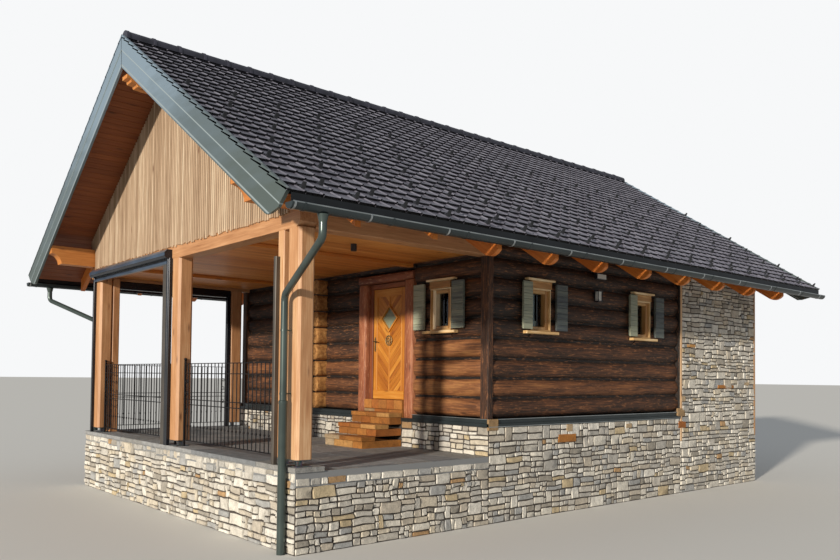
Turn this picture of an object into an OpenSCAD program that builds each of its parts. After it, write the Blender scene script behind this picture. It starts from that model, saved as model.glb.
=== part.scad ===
// Alpine chalet: a log cabin with a timbered terrace under one wide tiled gable roof.
// X runs across the gable, Y along the ridge from the terrace gable to the rear, Z is up.
// The origin is the middle of the plan at the lowest ground level.

/* [Plan] */
// Width over the log side walls and the terrace posts
house_w = 7700; // [6800:50:8600]
// Depth of the open terrace, from the front gable to the cabin
terrace_l = 3340; // [2900:20:4000]
// Depth of the log cabin
cabin_l = 5250; // [4900:50:5800]
// Depth of the stone room behind the cabin
rear_l = 3020; // [2400:20:3600]
// Overhang of the roof past the front gable
verge_front = 870; // [600:10:1000]
// Overhang of the roof past the rear wall
verge_rear = 650; // [450:10:900]

/* [Levels] */
// Height of the terrace floor over the lowest ground
base_h = 1000; // [700:20:1300]
// Height of the stone plinth over the terrace floor
plinth_h = 490; // [400:10:540]
// Height of the log walls over the plinth
log_wall_h = 2774; // [2700:2:2900]
// Depth of the tie beam and the side plates
plate_h = 235; // [180:5:240]
// Height of the eave purlins
eave_purlin_h = 333; // [300:1:360]

/* [Roof] */
// Pitch of both roof slopes in degrees
roof_pitch = 33.25; // [32:0.25:34.5]
// Plan distance from the ridge to the tile edge at the eaves
eave_half = 5000; // [4800:10:5200]
// Thickness of tiles and battens
tile_t = 80; // [60:5:100]
// Thickness of the soffit boards
board_t = 24; // [18:1:30]
// Depth of a rafter
rafter_d = 200; // [160:5:220]
// Width of a rafter
rafter_w = 120; // [80:5:160]
// Distance between rafters
rafter_pitch = 1190; // [900:10:1300]
// How far the rafter tails stop short of the tile edge, in plan
rafter_short = 150; // [120:5:200]
// Depth of the rafters outside the walls
tail_d = 365; // [300:5:380]
// Depth of the sheet metal verge boards
verge_d = 425; // [400:5:480]
// Thickness of the verge boards
verge_t = 45; // [35:1:60]
// Radius of the ridge tiles
ridge_cap_r = 120; // [100:2:140]
// Distance between snow guards along a row
guard_pitch = 703; // [500:1:900]
// Distance between rows of snow guards
guard_row_pitch = 667; // [500:1:800]

/* [Walls] */
// Thickness of the log walls
log_t = 220; // [180:5:260]
// Height of the thick sill log
sill_log_h = 390; // [330:5:420]
// Height of the other logs
log_h = 298; // [260:2:320]
// Rounding of the log edges
log_round = 60; // [30:2:80]
// Thickness of the stone walls
stone_t = 400; // [300:10:450]
// How far the stone cladding stands proud of the logs
stone_proud = 30; // [10:5:60]
// Thickness of the gable walls with their battens
gable_t = 90; // [70:5:120]
// Thickness of the terrace slab
slab_t = 180; // [140:10:220]
// Thickness of the coping stones
coping_t = 60; // [40:5:80]
// Width of the coping stones
coping_w = 430; // [400:10:500]

/* [Door] */
// Clear width between the door posts
door_gap = 1070; // [1000:10:1120]
// Distance of the doorway's middle from the ridge line
door_x = 1295; // [1200:5:1400]
// Height of the door leaf
leaf_h = 1950; // [1900:10:2000]
// Thickness of the door leaf
leaf_t = 60; // [45:1:70]
// Width of the inner door frame
frame_w = 90; // [70:5:110]
// Height of the cabin floor over the terrace floor
cabin_floor_h = 760; // [700:10:800]
// Width of the hewn door posts
door_post_w = 240; // [200:5:280]
// Gap round the leaf
leaf_gap = 6; // [5:0.5:8]

/* [Windows] */
// Width of a window frame
window_w = 490; // [440:5:540]
// Height of a window frame
window_h = 680; // [620:10:740]
// Height of the window frames over the terrace floor
window_z = 1940; // [1900:5:1990]
// Distance of the front window's middle from the ridge line
front_window_x = 2740; // [2700:5:2800]
// Distance of the first side window's middle from the cabin front
side_window_1 = 1180; // [1100:10:1300]
// Distance of the second side window's middle from the cabin front
side_window_2 = 4040; // [3900:10:4150]
// Width of one shutter
shutter_w = 240; // [220:5:260]
// Height of the shutters
shutter_h = 770; // [700:10:780]
// Distance from the window to each open shutter
shutter_gap = 60; // [40:5:90]

/* [Terrace] */
// Width of the terrace posts across the gable
post_w = 280; // [240:5:320]
// Distance of the left post's outer face from the wall line
post_a_inset = 270; // [150:10:350]
// Depth of the terrace posts along the ridge
post_d = 240; // [180:5:260]
// Distance of the middle post's left face from the ridge line
post_b_x = 30; // [-100:10:200]
// Distance of the rear left post from the cabin
post_d_gap = 170; // [100:10:300]
// Width of the post's narrow partner at the right corner
partner_w = 145; // [120:5:170]
// Gap between the right corner post and its partner
partner_gap = 95; // [60:5:120]
// Run of one door step
tread = 280; // [250:5:300]
// Length of one coping stone
coping_l = 960; // [700:20:1200]
// Joint between coping stones
coping_joint = 8; // [4:1:15]
// Height of the railing over the terrace floor
railing_h = 1360; // [1200:10:1400]
// Radius of a baluster
baluster_r = 8; // [6:0.5:10]
// Distance between balusters
baluster_pitch = 115; // [90:5:160]
// Height of the steel feet under the posts
post_foot_h = 90; // [60:5:120]
// Thickness of the ceiling boards
ceiling_t = 40; // [25:5:50]
// Depth of the ceiling beams that shows under the boards
ceiling_beam_d = 60; // [40:5:80]

/* [Rainwater] */
// Radius of the half-round gutters
gutter_r = 75; // [60:1:90]
// Radius of the downpipes
pipe_r = 45; // [40:1:55]

/* [Hidden] */
$fn = 48;

// Planes of the plan
roof_l = verge_front + terrace_l + cabin_l + rear_l + verge_rear;
half_w = house_w / 2;
verge_y = -roof_l / 2;
gable_y = verge_y + verge_front;
cabin_y = gable_y + terrace_l;
rear_y = cabin_y + cabin_l;
back_y = rear_y + rear_l;
verge_back_y = roof_l / 2;
stone_x = half_w + stone_proud;

// Levels over the lowest ground
floor_z = base_h;
plinth_z = floor_z + plinth_h;
log_top_z = plinth_z + log_wall_h;
plate_z = log_top_z - plate_h;
cabin_floor_z = floor_z + cabin_floor_h;
floor_board_t = 40;
window_bottom = floor_z + window_z;
flashing_t = 12;

// Roof planes: s runs down the slope from the ridge, d is the depth under the tile face.
// The rafters are notched over the eave purlins, and that sets the height of the ridge.
lay_gap = 0.2;
slope_len = eave_half / cos(roof_pitch);
boards_d = tile_t + lay_gap;
soffit_d = boards_d + board_t;
rafter_top_d = soffit_d + lay_gap;
rafter_bottom_d = rafter_top_d + rafter_d;
rafter_notch = 45;
eave_purlin_top = log_top_z + eave_purlin_h;
ridge_z = eave_purlin_top - rafter_notch + half_w * tan(roof_pitch)
    + rafter_bottom_d / cos(roof_pitch);
seam_gap = 2;
function roof_z(x, d) = ridge_z - abs(x) * tan(roof_pitch) - d / cos(roof_pitch);
function slope_point(s, d) = [s * cos(roof_pitch) - d * sin(roof_pitch),
                              ridge_z - s * sin(roof_pitch) - d * cos(roof_pitch)];

// Doorway
door_left = door_x - door_gap / 2;
door_right = door_x + door_gap / 2;
sill_rise = 20;
sill_z = cabin_floor_z + sill_rise;
leaf_left = door_left + frame_w + leaf_gap;
leaf_right = door_right - frame_w - leaf_gap;
leaf_z = sill_z + leaf_gap;
leaf_top = leaf_z + leaf_h;
head_z = leaf_top + leaf_gap + frame_w;
leaf_inset = 100;
leaf_y = cabin_y + leaf_inset;
leaf_back = leaf_y + leaf_t;
post_proud = 20;
lintel_h = 160;
lintel_top = head_z + lintel_h;
// The hinge line lies against the leaf's inner face, in line with the gap beside the leaf
pin_r = 6;
barrel_r = 10;
barrel_h = 60;
hinge_plate_w = 60;
hinge_plate_t = 3;
pin_clearance = 0.3;
hinge_inset = 250;
hinge_x = leaf_right + leaf_gap / 2;
hinge_y = leaf_back + barrel_r;
hinge_heights = [leaf_z + hinge_inset, leaf_z + leaf_h / 2, leaf_z + leaf_h - hinge_inset];
pane_side = 300;
pane_z = leaf_z + 0.73 * leaf_h;

// Log courses: a thick sill log, then even courses up to the plate
function log_bottom(i) = i == 0 ? 0 : sill_log_h + (i - 1) * log_h;
log_count = 1 + ceil((log_wall_h - sill_log_h) / log_h);
function log_top(i) = min(log_wall_h, log_bottom(i + 1));

// Purlins reach to the back of the verge boards
purlin_w = 240;
ridge_purlin_w = 200;
ridge_purlin_h = 240;
ridge_notch = 30;
ridge_purlin_top = roof_z(ridge_purlin_w / 2, rafter_bottom_d) + ridge_notch;
verge_clearance = 5;
purlin_front = verge_y + verge_t + verge_clearance;
purlin_back = verge_back_y - verge_t - verge_clearance;

// The cross wall's log ends show left of the door
cross_wall_x = door_left - 1290;
cross_tail = 200;

// Terrace posts stand on the coping, in line with the gable
coping_z = floor_z + coping_t;
coping_proud = 20;
coping_x = stone_x + coping_proud;
coping_y = gable_y - stone_proud - coping_proud;
post_z = coping_z + post_foot_h;
post_a_x = -half_w + post_a_inset;
post_c_x = half_w - post_w;
partner_x = post_c_x - partner_gap - partner_w;
post_d_y = cabin_y - post_d_gap - post_w;
ceiling_z = plate_z + ceiling_beam_d;

// Screens hang in front of the posts
cassette_d = 130;
cassette_h = 140;
guide_w = 55;
guide_d = 55;
guide_lap = 25;

module block(lo, hi) {
    translate(lo) cube(hi - lo);
}

module both_sides() {
    children();
    mirror([1, 0, 0]) children();
}

// A bar of round section from one point to another
module rod(from, to, r) {
    v = to - from;
    translate(from)
        rotate([0, atan2(norm([v[0], v[1]]), v[2]), atan2(v[1], v[0])])
            cylinder(r = r, h = norm(v));
}

// Outline of a carved purlin end: a straight nose over a quarter round hollow.
// The first number runs out to the nose, the second is the depth under the top face.
function carved_end(reach, depth) =
    let (hollow = 0.55 * depth)
    concat([[reach, 0]],
           [for (a = [0 : 15 : 90]) [reach - hollow * sin(a), depth - hollow * cos(a)]]);

// A purlin with both ends carved, from x0 to x1, its top face at height top
module carved_purlin(x0, x1, top, depth) {
    middle = (purlin_front + purlin_back) / 2;
    half = carved_end(purlin_back - middle, depth);
    translate([x0, middle, top]) rotate([90, 0, 90]) linear_extrude(x1 - x0)
        polygon(concat([for (p = half) [p[0], -p[1]]],
                       [for (i = [len(half) - 1 : -1 : 0]) [-half[i][0], -half[i][1]]]));
}

// A plate that follows the right slope between two depths, from verge to verge
module slope_plate(d0, d1, s_end, y0, y1) {
    translate([0, y1, 0]) rotate([90, 0, 0])
        linear_extrude(y1 - y0)
            polygon([[seam_gap / 2, roof_z(seam_gap / 2, d0)], slope_point(s_end, d0),
                     slope_point(s_end, d1), [seam_gap / 2, roof_z(seam_gap / 2, d1)]]);
}

// Section of a log wall, thickness in X and height in Y, with rounded log edges
module log_section() {
    for (i = [0 : log_count - 1]) {
        low = log_bottom(i);
        high = log_top(i);
        translate([0, low + log_round])
            square([log_t, high - low - 2 * log_round]);
        translate([log_round, low])
            square([log_t - 2 * log_round, high - low]);
        for (x = [log_round, log_t - log_round], z = [low + log_round, high - log_round])
            translate([x, z]) circle(log_round);
    }
}

// A log wall along X, its outer face at y = 0
module log_run_x(x0, x1) {
    translate([x0, 0, plinth_z])
        rotate([90, 0, 90]) linear_extrude(x1 - x0) log_section();
}

// A log wall along Y, its outer face at x = half_w
module log_run_y(y0, y1) {
    translate([half_w, y1, plinth_z])
        rotate([90, 0, 0]) mirror([1, 0, 0]) linear_extrude(y1 - y0) log_section();
}

// The corner square is shared log by log: each wall's logs are halved over the other's
module corner_slices(x0, x1) {
    for (i = [1 : log_count - 1])
        block([x0, cabin_y - 1, plinth_z + log_bottom(i) - log_h / 4],
              [x1, cabin_y + log_t, plinth_z + log_bottom(i) + log_h / 4]);
}

module window_hole_x(x) {
    block([x - window_w / 2, cabin_y - 50, window_bottom],
          [x + window_w / 2, cabin_y + log_t + 50, window_bottom + window_h]);
}

module window_hole_y(y) {
    block([half_w - log_t - 50, y - window_w / 2, window_bottom],
          [half_w + 50, y + window_w / 2, window_bottom + window_h]);
}

// Places a child that is drawn for a wall facing -Y, middle at x = 0, at every window
module at_windows() {
    translate([front_window_x, cabin_y, window_bottom]) children();
    for (y = [cabin_y + side_window_1, cabin_y + side_window_2]) {
        translate([half_w, y, window_bottom]) rotate([0, 0, 90]) children();
        translate([-half_w, y, window_bottom]) rotate([0, 0, -90]) children();
    }
}

module terrace_base_front() {
    color("slategray")
        block([-stone_x, gable_y - stone_proud, 0],
              [stone_x, gable_y - stone_proud + stone_t, floor_z - slab_t]);
}

module terrace_base_sides() {
    color("slategray") both_sides()
        block([stone_x - stone_t, gable_y - stone_proud + stone_t, 0],
              [stone_x, cabin_y - stone_proud, floor_z - slab_t]);
}

// A straight row of coping stones of nearly equal length, with open joints
module coping_row(length) {
    n = round(length / coping_l);
    stone_l = (length - (n - 1) * coping_joint) / n;
    for (i = [0 : n - 1])
        translate([i * (stone_l + coping_joint), 0, 0]) cube([stone_l, coping_w, coping_t]);
}

module terrace_coping() {
    color("gray") {
        translate([-coping_x, coping_y, floor_z]) coping_row(2 * coping_x);
        translate([-coping_x + coping_w, coping_y + coping_w + coping_joint, floor_z])
            rotate([0, 0, 90])
                coping_row(cabin_y - stone_proud - coping_y - coping_w - 2 * coping_joint);
    }
}

module terrace_floor() {
    color("lightslategray")
        block([-stone_x, gable_y - stone_proud, floor_z - slab_t],
              [stone_x, cabin_y - stone_proud, floor_z]);
}

module plinth_front() {
    color("gray")
        block([-stone_x, cabin_y - stone_proud, 0],
              [stone_x, cabin_y - stone_proud + stone_t, plinth_z - flashing_t]);
}

module plinth_sides() {
    color("gray") both_sides()
        block([stone_x - stone_t, cabin_y - stone_proud + stone_t, 0],
              [stone_x, rear_y, plinth_z - flashing_t]);
}

// A metal strip under the sill log, turned down over the top of the plinth's stones
module plinth_flashing() {
    drip = 15;
    lip_t = 6;
    lip_h = 50;
    y0 = cabin_y - stone_proud - drip;
    lip_z = plinth_z - lip_h;
    color("dimgray") {
        both_sides()
            block([stone_x + drip - lip_t, y0, lip_z], [stone_x + drip, rear_y, plinth_z - flashing_t]);
        block([-stone_x - drip + lip_t, y0, lip_z], [door_left, y0 + lip_t, plinth_z - flashing_t]);
        block([door_right, y0, lip_z], [stone_x + drip - lip_t, y0 + lip_t, plinth_z - flashing_t]);
        block([-stone_x - drip, y0, plinth_z - flashing_t], [door_left, cabin_y + log_t, plinth_z]);
        block([door_right, y0, plinth_z - flashing_t], [stone_x + drip, cabin_y + log_t, plinth_z]);
        both_sides()
            block([half_w - log_t, cabin_y + log_t + 1, plinth_z - flashing_t],
                  [stone_x + drip, rear_y, plinth_z]);
    }
}

// Boards from the door sill to the rear wall, a little clear of the walls
floor_gap = 5;
floor_x = half_w - log_t - floor_gap;

module cabin_floor() {
    rear_x = stone_x - stone_t - floor_gap;
    board_z = cabin_floor_z - floor_board_t;
    color("peru") {
        block([-floor_x, cabin_y + stone_t - stone_proud + floor_gap, board_z],
              [floor_x, rear_y, cabin_floor_z]);
        block([-rear_x, rear_y, board_z],
              [rear_x, back_y - stone_t - floor_gap, cabin_floor_z]);
    }
}

// Joists lie across the house on the plinth
module floor_joists() {
    joist_pitch = 800;
    joist_w = 100;
    color("peru")
        for (y = [cabin_y + joist_pitch : joist_pitch : rear_y - joist_w])
            block([-floor_x, y, plinth_z - flashing_t],
                  [floor_x, y + joist_w, cabin_floor_z - floor_board_t]);
}

// Three masonry steps lead up to the sill
module door_steps() {
    step_n = 4;
    step_h = cabin_floor_h / step_n;
    color("tan")
        for (i = [1 : step_n - 1])
            block([door_left, cabin_y - stone_proud - tread * (step_n - i), floor_z],
                  [door_right, cabin_y - stone_proud, floor_z + step_h * i]);
}

module door_sill() {
    color("tan")
        block([door_left, cabin_y - stone_proud, plinth_z - flashing_t],
              [door_right, cabin_y + log_t, sill_z]);
}

// Upright timbers stand on the sill logs at the cabin's front corners
module corner_timber(gap) {
    corner_board_w = 170;
    corner_board_in = 90;
    corner_board_proud = 25;
    block([half_w - corner_board_w - gap, cabin_y - corner_board_proud, plinth_z + sill_log_h - gap],
          [half_w + gap, cabin_y + corner_board_in + gap, plate_z + gap]);
}

module log_side_walls() {
    color("saddlebrown") both_sides() difference() {
        log_run_y(cabin_y, rear_y);
        corner_timber(lay_gap);
        corner_slices(half_w - log_t, half_w + 1);
        window_hole_y(cabin_y + side_window_1);
        window_hole_y(cabin_y + side_window_2);
    }
}

module log_wall_front_left() {
    color("saddlebrown") difference() {
        translate([0, cabin_y, 0]) log_run_x(-half_w, door_left - door_post_w);
        difference() {
            block([-half_w - 1, cabin_y - 1, plinth_z - 1],
                  [-half_w + log_t, cabin_y + log_t + 1, log_top_z + 1]);
            corner_slices(-half_w - 2, -half_w + log_t + 1);
        }
        mirror([1, 0, 0]) corner_timber(lay_gap);
    }
}

module log_wall_front_right() {
    color("saddlebrown") difference() {
        translate([0, cabin_y, 0]) log_run_x(door_right + door_post_w, half_w);
        difference() {
            block([half_w - log_t, cabin_y - 1, plinth_z - 1],
                  [half_w + 1, cabin_y + log_t + 1, log_top_z + 1]);
            corner_slices(half_w - log_t - 1, half_w + 2);
        }
        corner_timber(lay_gap);
        window_hole_x(front_window_x);
    }
}

module log_wall_over_door() {
    color("saddlebrown") intersection() {
        translate([0, cabin_y, 0])
            log_run_x(door_left - door_post_w, door_right + door_post_w);
        block([door_left - door_post_w, cabin_y - 1, lintel_top],
              [door_right + door_post_w, cabin_y + log_t + 1, log_top_z + 1]);
    }
}

module cross_wall_ends() {
    color("burlywood") intersection() {
        translate([cross_wall_x - log_t, cabin_y, plinth_z])
            rotate([90, 0, 0]) linear_extrude(cross_tail) log_section();
        block([cross_wall_x - log_t, cabin_y - cross_tail, plinth_z],
              [cross_wall_x, cabin_y, ceiling_z]);
    }
}

module corner_boards() {
    color("tan") both_sides() corner_timber(0);
}

module stone_side_walls() {
    color("darkgray") both_sides()
        block([stone_x - stone_t, rear_y, 0], [stone_x, back_y - stone_t, log_top_z]);
}

module stone_wall_rear() {
    color("darkgray")
        block([-stone_x, back_y - stone_t, 0], [stone_x, back_y, log_top_z]);
}

// Pale upright strips finish both edges of each side wall's stone cladding
module stone_edge_strips() {
    strip_w = 60;
    strip_t = 12;
    color("wheat") both_sides()
        for (y = [rear_y, back_y - strip_w])
            block([stone_x, y, floor_z], [stone_x + strip_t, y + strip_w, log_top_z]);
}

module door_posts() {
    color("sienna") {
        for (x = [door_left - door_post_w, door_right])
            block([x, cabin_y - post_proud, plinth_z],
                  [x + door_post_w, cabin_y + log_t, head_z]);
        block([door_left - door_post_w, cabin_y - post_proud, head_z],
              [door_right + door_post_w, cabin_y + log_t, lintel_top]);
    }
}

module door_frame() {
    frame_proud = 20;
    frame_y = leaf_y - frame_proud;
    color("sienna") difference() {
        block([door_left, frame_y, sill_z], [door_right, leaf_back, head_z]);
        block([door_left + frame_w, frame_y - 1, sill_z - 1],
              [door_right - frame_w, leaf_back + 1, head_z - frame_w]);
    }
}

module door_hinges() {
    color("black")
        for (z = hinge_heights) {
            translate([hinge_x, hinge_y, z]) cylinder(r = pin_r, h = barrel_h);
            translate([hinge_x, hinge_y, z - barrel_h / 2])
                cylinder(r = barrel_r, h = barrel_h / 2);
            block([hinge_x, leaf_back, z - barrel_h / 2],
                  [hinge_x + hinge_plate_w, leaf_back + hinge_plate_t, z]);
        }
}

// A square of the given side that stands on its corner in the leaf, y0 to y1 deep
module pane_shape(side, y0, y1) {
    translate([(leaf_left + leaf_right) / 2, y1, pane_z])
        rotate([90, 45, 0]) translate([-side / 2, -side / 2, 0]) cube([side, side, y1 - y0]);
}

// Plank leaf with a kick board and a moulded surround for the pane
module door_leaf() {
    moulding_w = 28;
    moulding_t = 12;
    kick_h = 150;
    kick_t = 10;
    color("chocolate") difference() {
        union() {
            block([leaf_left, leaf_y, leaf_z], [leaf_right, leaf_back, leaf_top]);
            block([leaf_left + kick_t, leaf_y - kick_t, leaf_z + kick_t],
                  [leaf_right - kick_t, leaf_y, leaf_z + kick_h]);
            pane_shape(pane_side + 2 * moulding_w, leaf_y - moulding_t, leaf_y);
        }
        pane_shape(pane_side, leaf_y - moulding_t - 1, leaf_back + 1);
    }
}

module door_glass() {
    glass_t = 8;
    color("lightcyan")
        pane_shape(pane_side - 2 * pin_clearance, leaf_y + leaf_t / 2, leaf_y + leaf_t / 2 + glass_t);
}

// Lever handle on a long plate
module door_fittings() {
    plate_x = leaf_left + 62;
    fitting_w = 45;
    fitting_h = 230;
    fitting_t = 8;
    handle_z = leaf_z + 1050;
    handle_r = 9;
    handle_out = 60;
    handle_l = 118;
    color("gold") {
        block([plate_x - fitting_w / 2, leaf_y - fitting_t, handle_z - 0.65 * fitting_h],
              [plate_x + fitting_w / 2, leaf_y, handle_z + 0.35 * fitting_h]);
        rod([plate_x, leaf_y, handle_z], [plate_x, leaf_y - handle_out, handle_z], handle_r);
        rod([plate_x, leaf_y - handle_out, handle_z],
            [plate_x + handle_l, leaf_y - handle_out, handle_z], handle_r);
    }
}

module hinge_barrels() {
    color("black")
        for (z = hinge_heights) {
            difference() {
                translate([hinge_x, hinge_y, z + 0.5]) cylinder(r = barrel_r, h = barrel_h);
                translate([hinge_x, hinge_y, z - 1])
                    cylinder(r = pin_r + pin_clearance, h = barrel_h + 3);
            }
            block([hinge_x - hinge_plate_w, leaf_back, z + pin_clearance],
                  [hinge_x, leaf_back + hinge_plate_t, z + barrel_h]);
        }
}

// A window is a lined box in the logs, with two narrow sashes set deep in it
lining_t = 20;
sash_y = 95;
sash_d = 55;
sash_w = 42;
mullion_w = 44;

// The two panes of a window, from depth y0 to y1
module panes(y0, y1) {
    pane_w = window_w / 2 - lining_t - sash_w - mullion_w / 2;
    pane_z = lining_t + sash_w;
    for (x = [-mullion_w / 2 - pane_w, mullion_w / 2])
        block([x, y0, pane_z], [x + pane_w, y1, window_h - pane_z]);
}

module window_frames() {
    color("wheat") at_windows() difference() {
        block([-window_w / 2, 0, 0], [window_w / 2, sash_y + sash_d, window_h]);
        block([-window_w / 2 + lining_t, -1, lining_t],
              [window_w / 2 - lining_t, sash_y, window_h - lining_t]);
        panes(-1, sash_y + sash_d + 1);
    }
}

module window_glass() {
    glass_t = 6;
    color("lightcyan") at_windows() panes(sash_y + sash_d / 2, sash_y + sash_d / 2 + glass_t);
}

// Boards over and under each window reach nearly to the shutters
casing_side = shutter_gap - 5;

module window_heads() {
    head_board_h = 150;
    head_board_t = 28;
    color("peru") at_windows()
        block([-window_w / 2 - casing_side, -head_board_t, window_h],
              [window_w / 2 + casing_side, 0, window_h + head_board_h]);
}

module window_sills() {
    window_sill_t = 40;
    window_sill_out = 80;
    color("peru") at_windows()
        block([-window_w / 2 - casing_side, -window_sill_out, -window_sill_t],
              [window_w / 2 + casing_side, 0, 0]);
}

// Plank shutters stand open against the logs, their ledges outwards
module shutters() {
    plank_t = 28;
    ledge_t = 18;
    ledge_h = 70;
    ledge_inset = 90;
    color("lightgray") at_windows()
        for (x = [-window_w / 2 - shutter_gap - shutter_w, window_w / 2 + shutter_gap]) {
            block([x, -plank_t, 0], [x + shutter_w, 0, shutter_h]);
            for (z = [ledge_inset, shutter_h - ledge_inset - ledge_h])
                block([x + ledge_t, -plank_t - ledge_t, z],
                      [x + shutter_w - ledge_t, -plank_t, z + ledge_h]);
        }
}

// Places a child at each terrace post; the child takes its plan size
module at_posts() {
    for (x = [post_a_x, post_b_x, post_c_x])
        translate([x, gable_y, 0]) children(0);
    translate([partner_x, gable_y, 0]) children(1);
    translate([-half_w + post_d, post_d_y, 0]) rotate([0, 0, 90]) children(0);
}

// A post with its upright edges planed off
module post(width) {
    edge = 36;
    translate([0, 0, post_z]) linear_extrude(plate_z - post_z)
        polygon([[edge, 0], [width - edge, 0], [width, edge], [width, post_d - edge],
                 [width - edge, post_d], [edge, post_d], [0, post_d - edge], [0, edge]]);
}

module terrace_posts() {
    color("burlywood") at_posts() {
        post(post_w);
        block([0, 0, post_z], [partner_w, post_d, plate_z]);
    }
}

// A steel foot holds each post clear of the coping
module post_foot(width) {
    foot_plate_t = 10;
    foot_inset = 30;
    for (z = [coping_z, post_z - foot_plate_t])
        block([foot_inset / 2, foot_inset / 2, z],
              [width - foot_inset / 2, post_d - foot_inset / 2, z + foot_plate_t]);
    block([width / 2 - foot_inset, post_d / 2 - foot_inset, coping_z],
          [width / 2 + foot_inset, post_d / 2 + foot_inset, post_z]);
}

module post_feet() {
    color("dimgray") at_posts() {
        post_foot(post_w);
        post_foot(partner_w);
    }
}

module tie_beam() {
    color("peru")
        block([-half_w, gable_y, plate_z], [half_w, gable_y + post_d, log_top_z]);
}

module side_plates() {
    color("peru") both_sides()
        block([half_w - purlin_w, gable_y + post_d, plate_z], [half_w, cabin_y, log_top_z]);
}

module ceiling() {
    color("chocolate") {
        block([-half_w + purlin_w, gable_y + post_d, ceiling_z],
              [half_w - purlin_w, cabin_y, ceiling_z + ceiling_t]);
        block([-half_w + log_t, cabin_y + log_t, ceiling_z],
              [half_w - log_t, rear_y, ceiling_z + ceiling_t]);
    }
}

// Beams along the terrace ceiling, under its boards
module ceiling_beams() {
    ceiling_beam_w = 120;
    ceiling_beam_x = 0.52 * half_w;
    color("peru") both_sides()
        block([ceiling_beam_x - ceiling_beam_w / 2, gable_y + post_d, plate_z],
              [ceiling_beam_x + ceiling_beam_w / 2, cabin_y, ceiling_z]);
}

module purlins() {
    color("orange") {
        both_sides()
            carved_purlin(half_w - purlin_w, half_w, eave_purlin_top, eave_purlin_h);
        carved_purlin(-ridge_purlin_w / 2, ridge_purlin_w / 2, ridge_purlin_top, ridge_purlin_h);
    }
}

// Outline of a rafter of the right slope. Outside the wall it is deeper, and the tail
// ends in a plumb face over a round belly that runs into the underside.
function rafter_outline() =
    let (ridge_x = seam_gap / 2,
         tail_x = eave_half - rafter_short,
         tail_bottom_d = rafter_top_d + tail_d,
         belly_r = 190,
         belly_back = 150,
         belly_x = tail_x - belly_back,
         belly_z = roof_z(belly_x, tail_bottom_d - belly_r),
         face_turn = asin(belly_back / belly_r),
         steps = 6)
    concat([[ridge_x, roof_z(ridge_x, rafter_top_d)],
            [tail_x, roof_z(tail_x, rafter_top_d)]],
           [for (i = [0 : steps])
               let (turn = face_turn - i * (face_turn + roof_pitch) / steps)
               [belly_x + belly_r * sin(turn), belly_z - belly_r * cos(turn)]],
           [[half_w, roof_z(half_w, tail_bottom_d)],
            [half_w, roof_z(half_w, rafter_bottom_d)],
            [ridge_x, roof_z(ridge_x, rafter_bottom_d)]]);

// One rafter of the right slope, notched over the purlins
module rafter(y) {
    difference() {
        translate([0, y + rafter_w, 0]) rotate([90, 0, 0]) linear_extrude(rafter_w)
            polygon(rafter_outline());
        block([half_w - purlin_w, y - 1, log_top_z], [half_w, y + rafter_w + 1, eave_purlin_top]);
        block([-1, y - 1, ridge_purlin_top - ridge_purlin_h],
              [ridge_purlin_w / 2, y + rafter_w + 1, ridge_purlin_top]);
    }
}

module rafters() {
    first_gap = 20;
    color("orange") both_sides()
        for (y = [gable_y + gable_t + first_gap : rafter_pitch : back_y - gable_t - rafter_w])
            rafter(y);
}

// A gable wall over the plate, notched round the purlins
module gable_wall(y0) {
    difference() {
        translate([0, y0 + gable_t, 0]) rotate([90, 0, 0]) linear_extrude(gable_t)
            polygon([[-half_w, log_top_z], [half_w, log_top_z], [half_w, roof_z(half_w, soffit_d)],
                     [0, roof_z(0, soffit_d)], [-half_w, roof_z(half_w, soffit_d)]]);
        both_sides()
            block([half_w - purlin_w, y0 - 1, log_top_z - 1],
                  [half_w + 1, y0 + gable_t + 1, eave_purlin_top]);
        block([-ridge_purlin_w / 2, y0 - 1, ridge_purlin_top - ridge_purlin_h],
              [ridge_purlin_w / 2, y0 + gable_t + 1, ridge_purlin_top]);
    }
}

module gable_front() {
    color("navajowhite") gable_wall(gable_y);
}

module gable_rear() {
    color("navajowhite") gable_wall(back_y - gable_t);
}

module roof_boards() {
    drip_edge = 20;
    color("chocolate") both_sides()
        slope_plate(boards_d, soffit_d, slope_len - drip_edge,
                    verge_y + verge_t, verge_back_y - verge_t);
}

module roof_slope_right() {
    color("dimgray")
        slope_plate(0, tile_t, slope_len, verge_y + verge_t, verge_back_y - verge_t);
}

module roof_slope_left() {
    mirror([1, 0, 0]) roof_slope_right();
}

// Bent straps stand in staggered rows over the lower part of both slopes
module snow_guards() {
    guard_w = 45;
    guard_h = 80;
    guard_l = 75;
    guard_t = 10;
    first_y = 185;
    first_s = slope_len - 260;
    rows = 6;
    color("dimgray") both_sides()
        for (row = [-1 : rows - 1]) {
            s = row < 0 ? slope_len - 30 : first_s - row * guard_row_pitch;
            stagger = row % 2 == 0 ? guard_pitch / 2 : 0;
            for (y = [verge_y + first_y + stagger : guard_pitch : verge_back_y - first_y])
                translate([0, y + guard_w, 0]) rotate([90, 0, 0]) linear_extrude(guard_w)
                    polygon([slope_point(s, -lay_gap), slope_point(s - guard_l, -lay_gap),
                             slope_point(s - 2 * guard_t, -guard_h), slope_point(s - guard_t, -guard_h)]);
        }
}

module ridge_cap() {
    color("dimgray") difference() {
        translate([0, verge_back_y - verge_t, ridge_z - ridge_cap_r / 2]) rotate([90, 0, 0])
            linear_extrude(roof_l - 2 * verge_t) circle(ridge_cap_r);
        translate([0, verge_back_y, 0]) rotate([90, 0, 0]) linear_extrude(roof_l)
            polygon([[0, ridge_z + lay_gap], [eave_half, roof_z(eave_half, -lay_gap)],
                     [-eave_half, roof_z(eave_half, -lay_gap)]]);
    }
}

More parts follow.
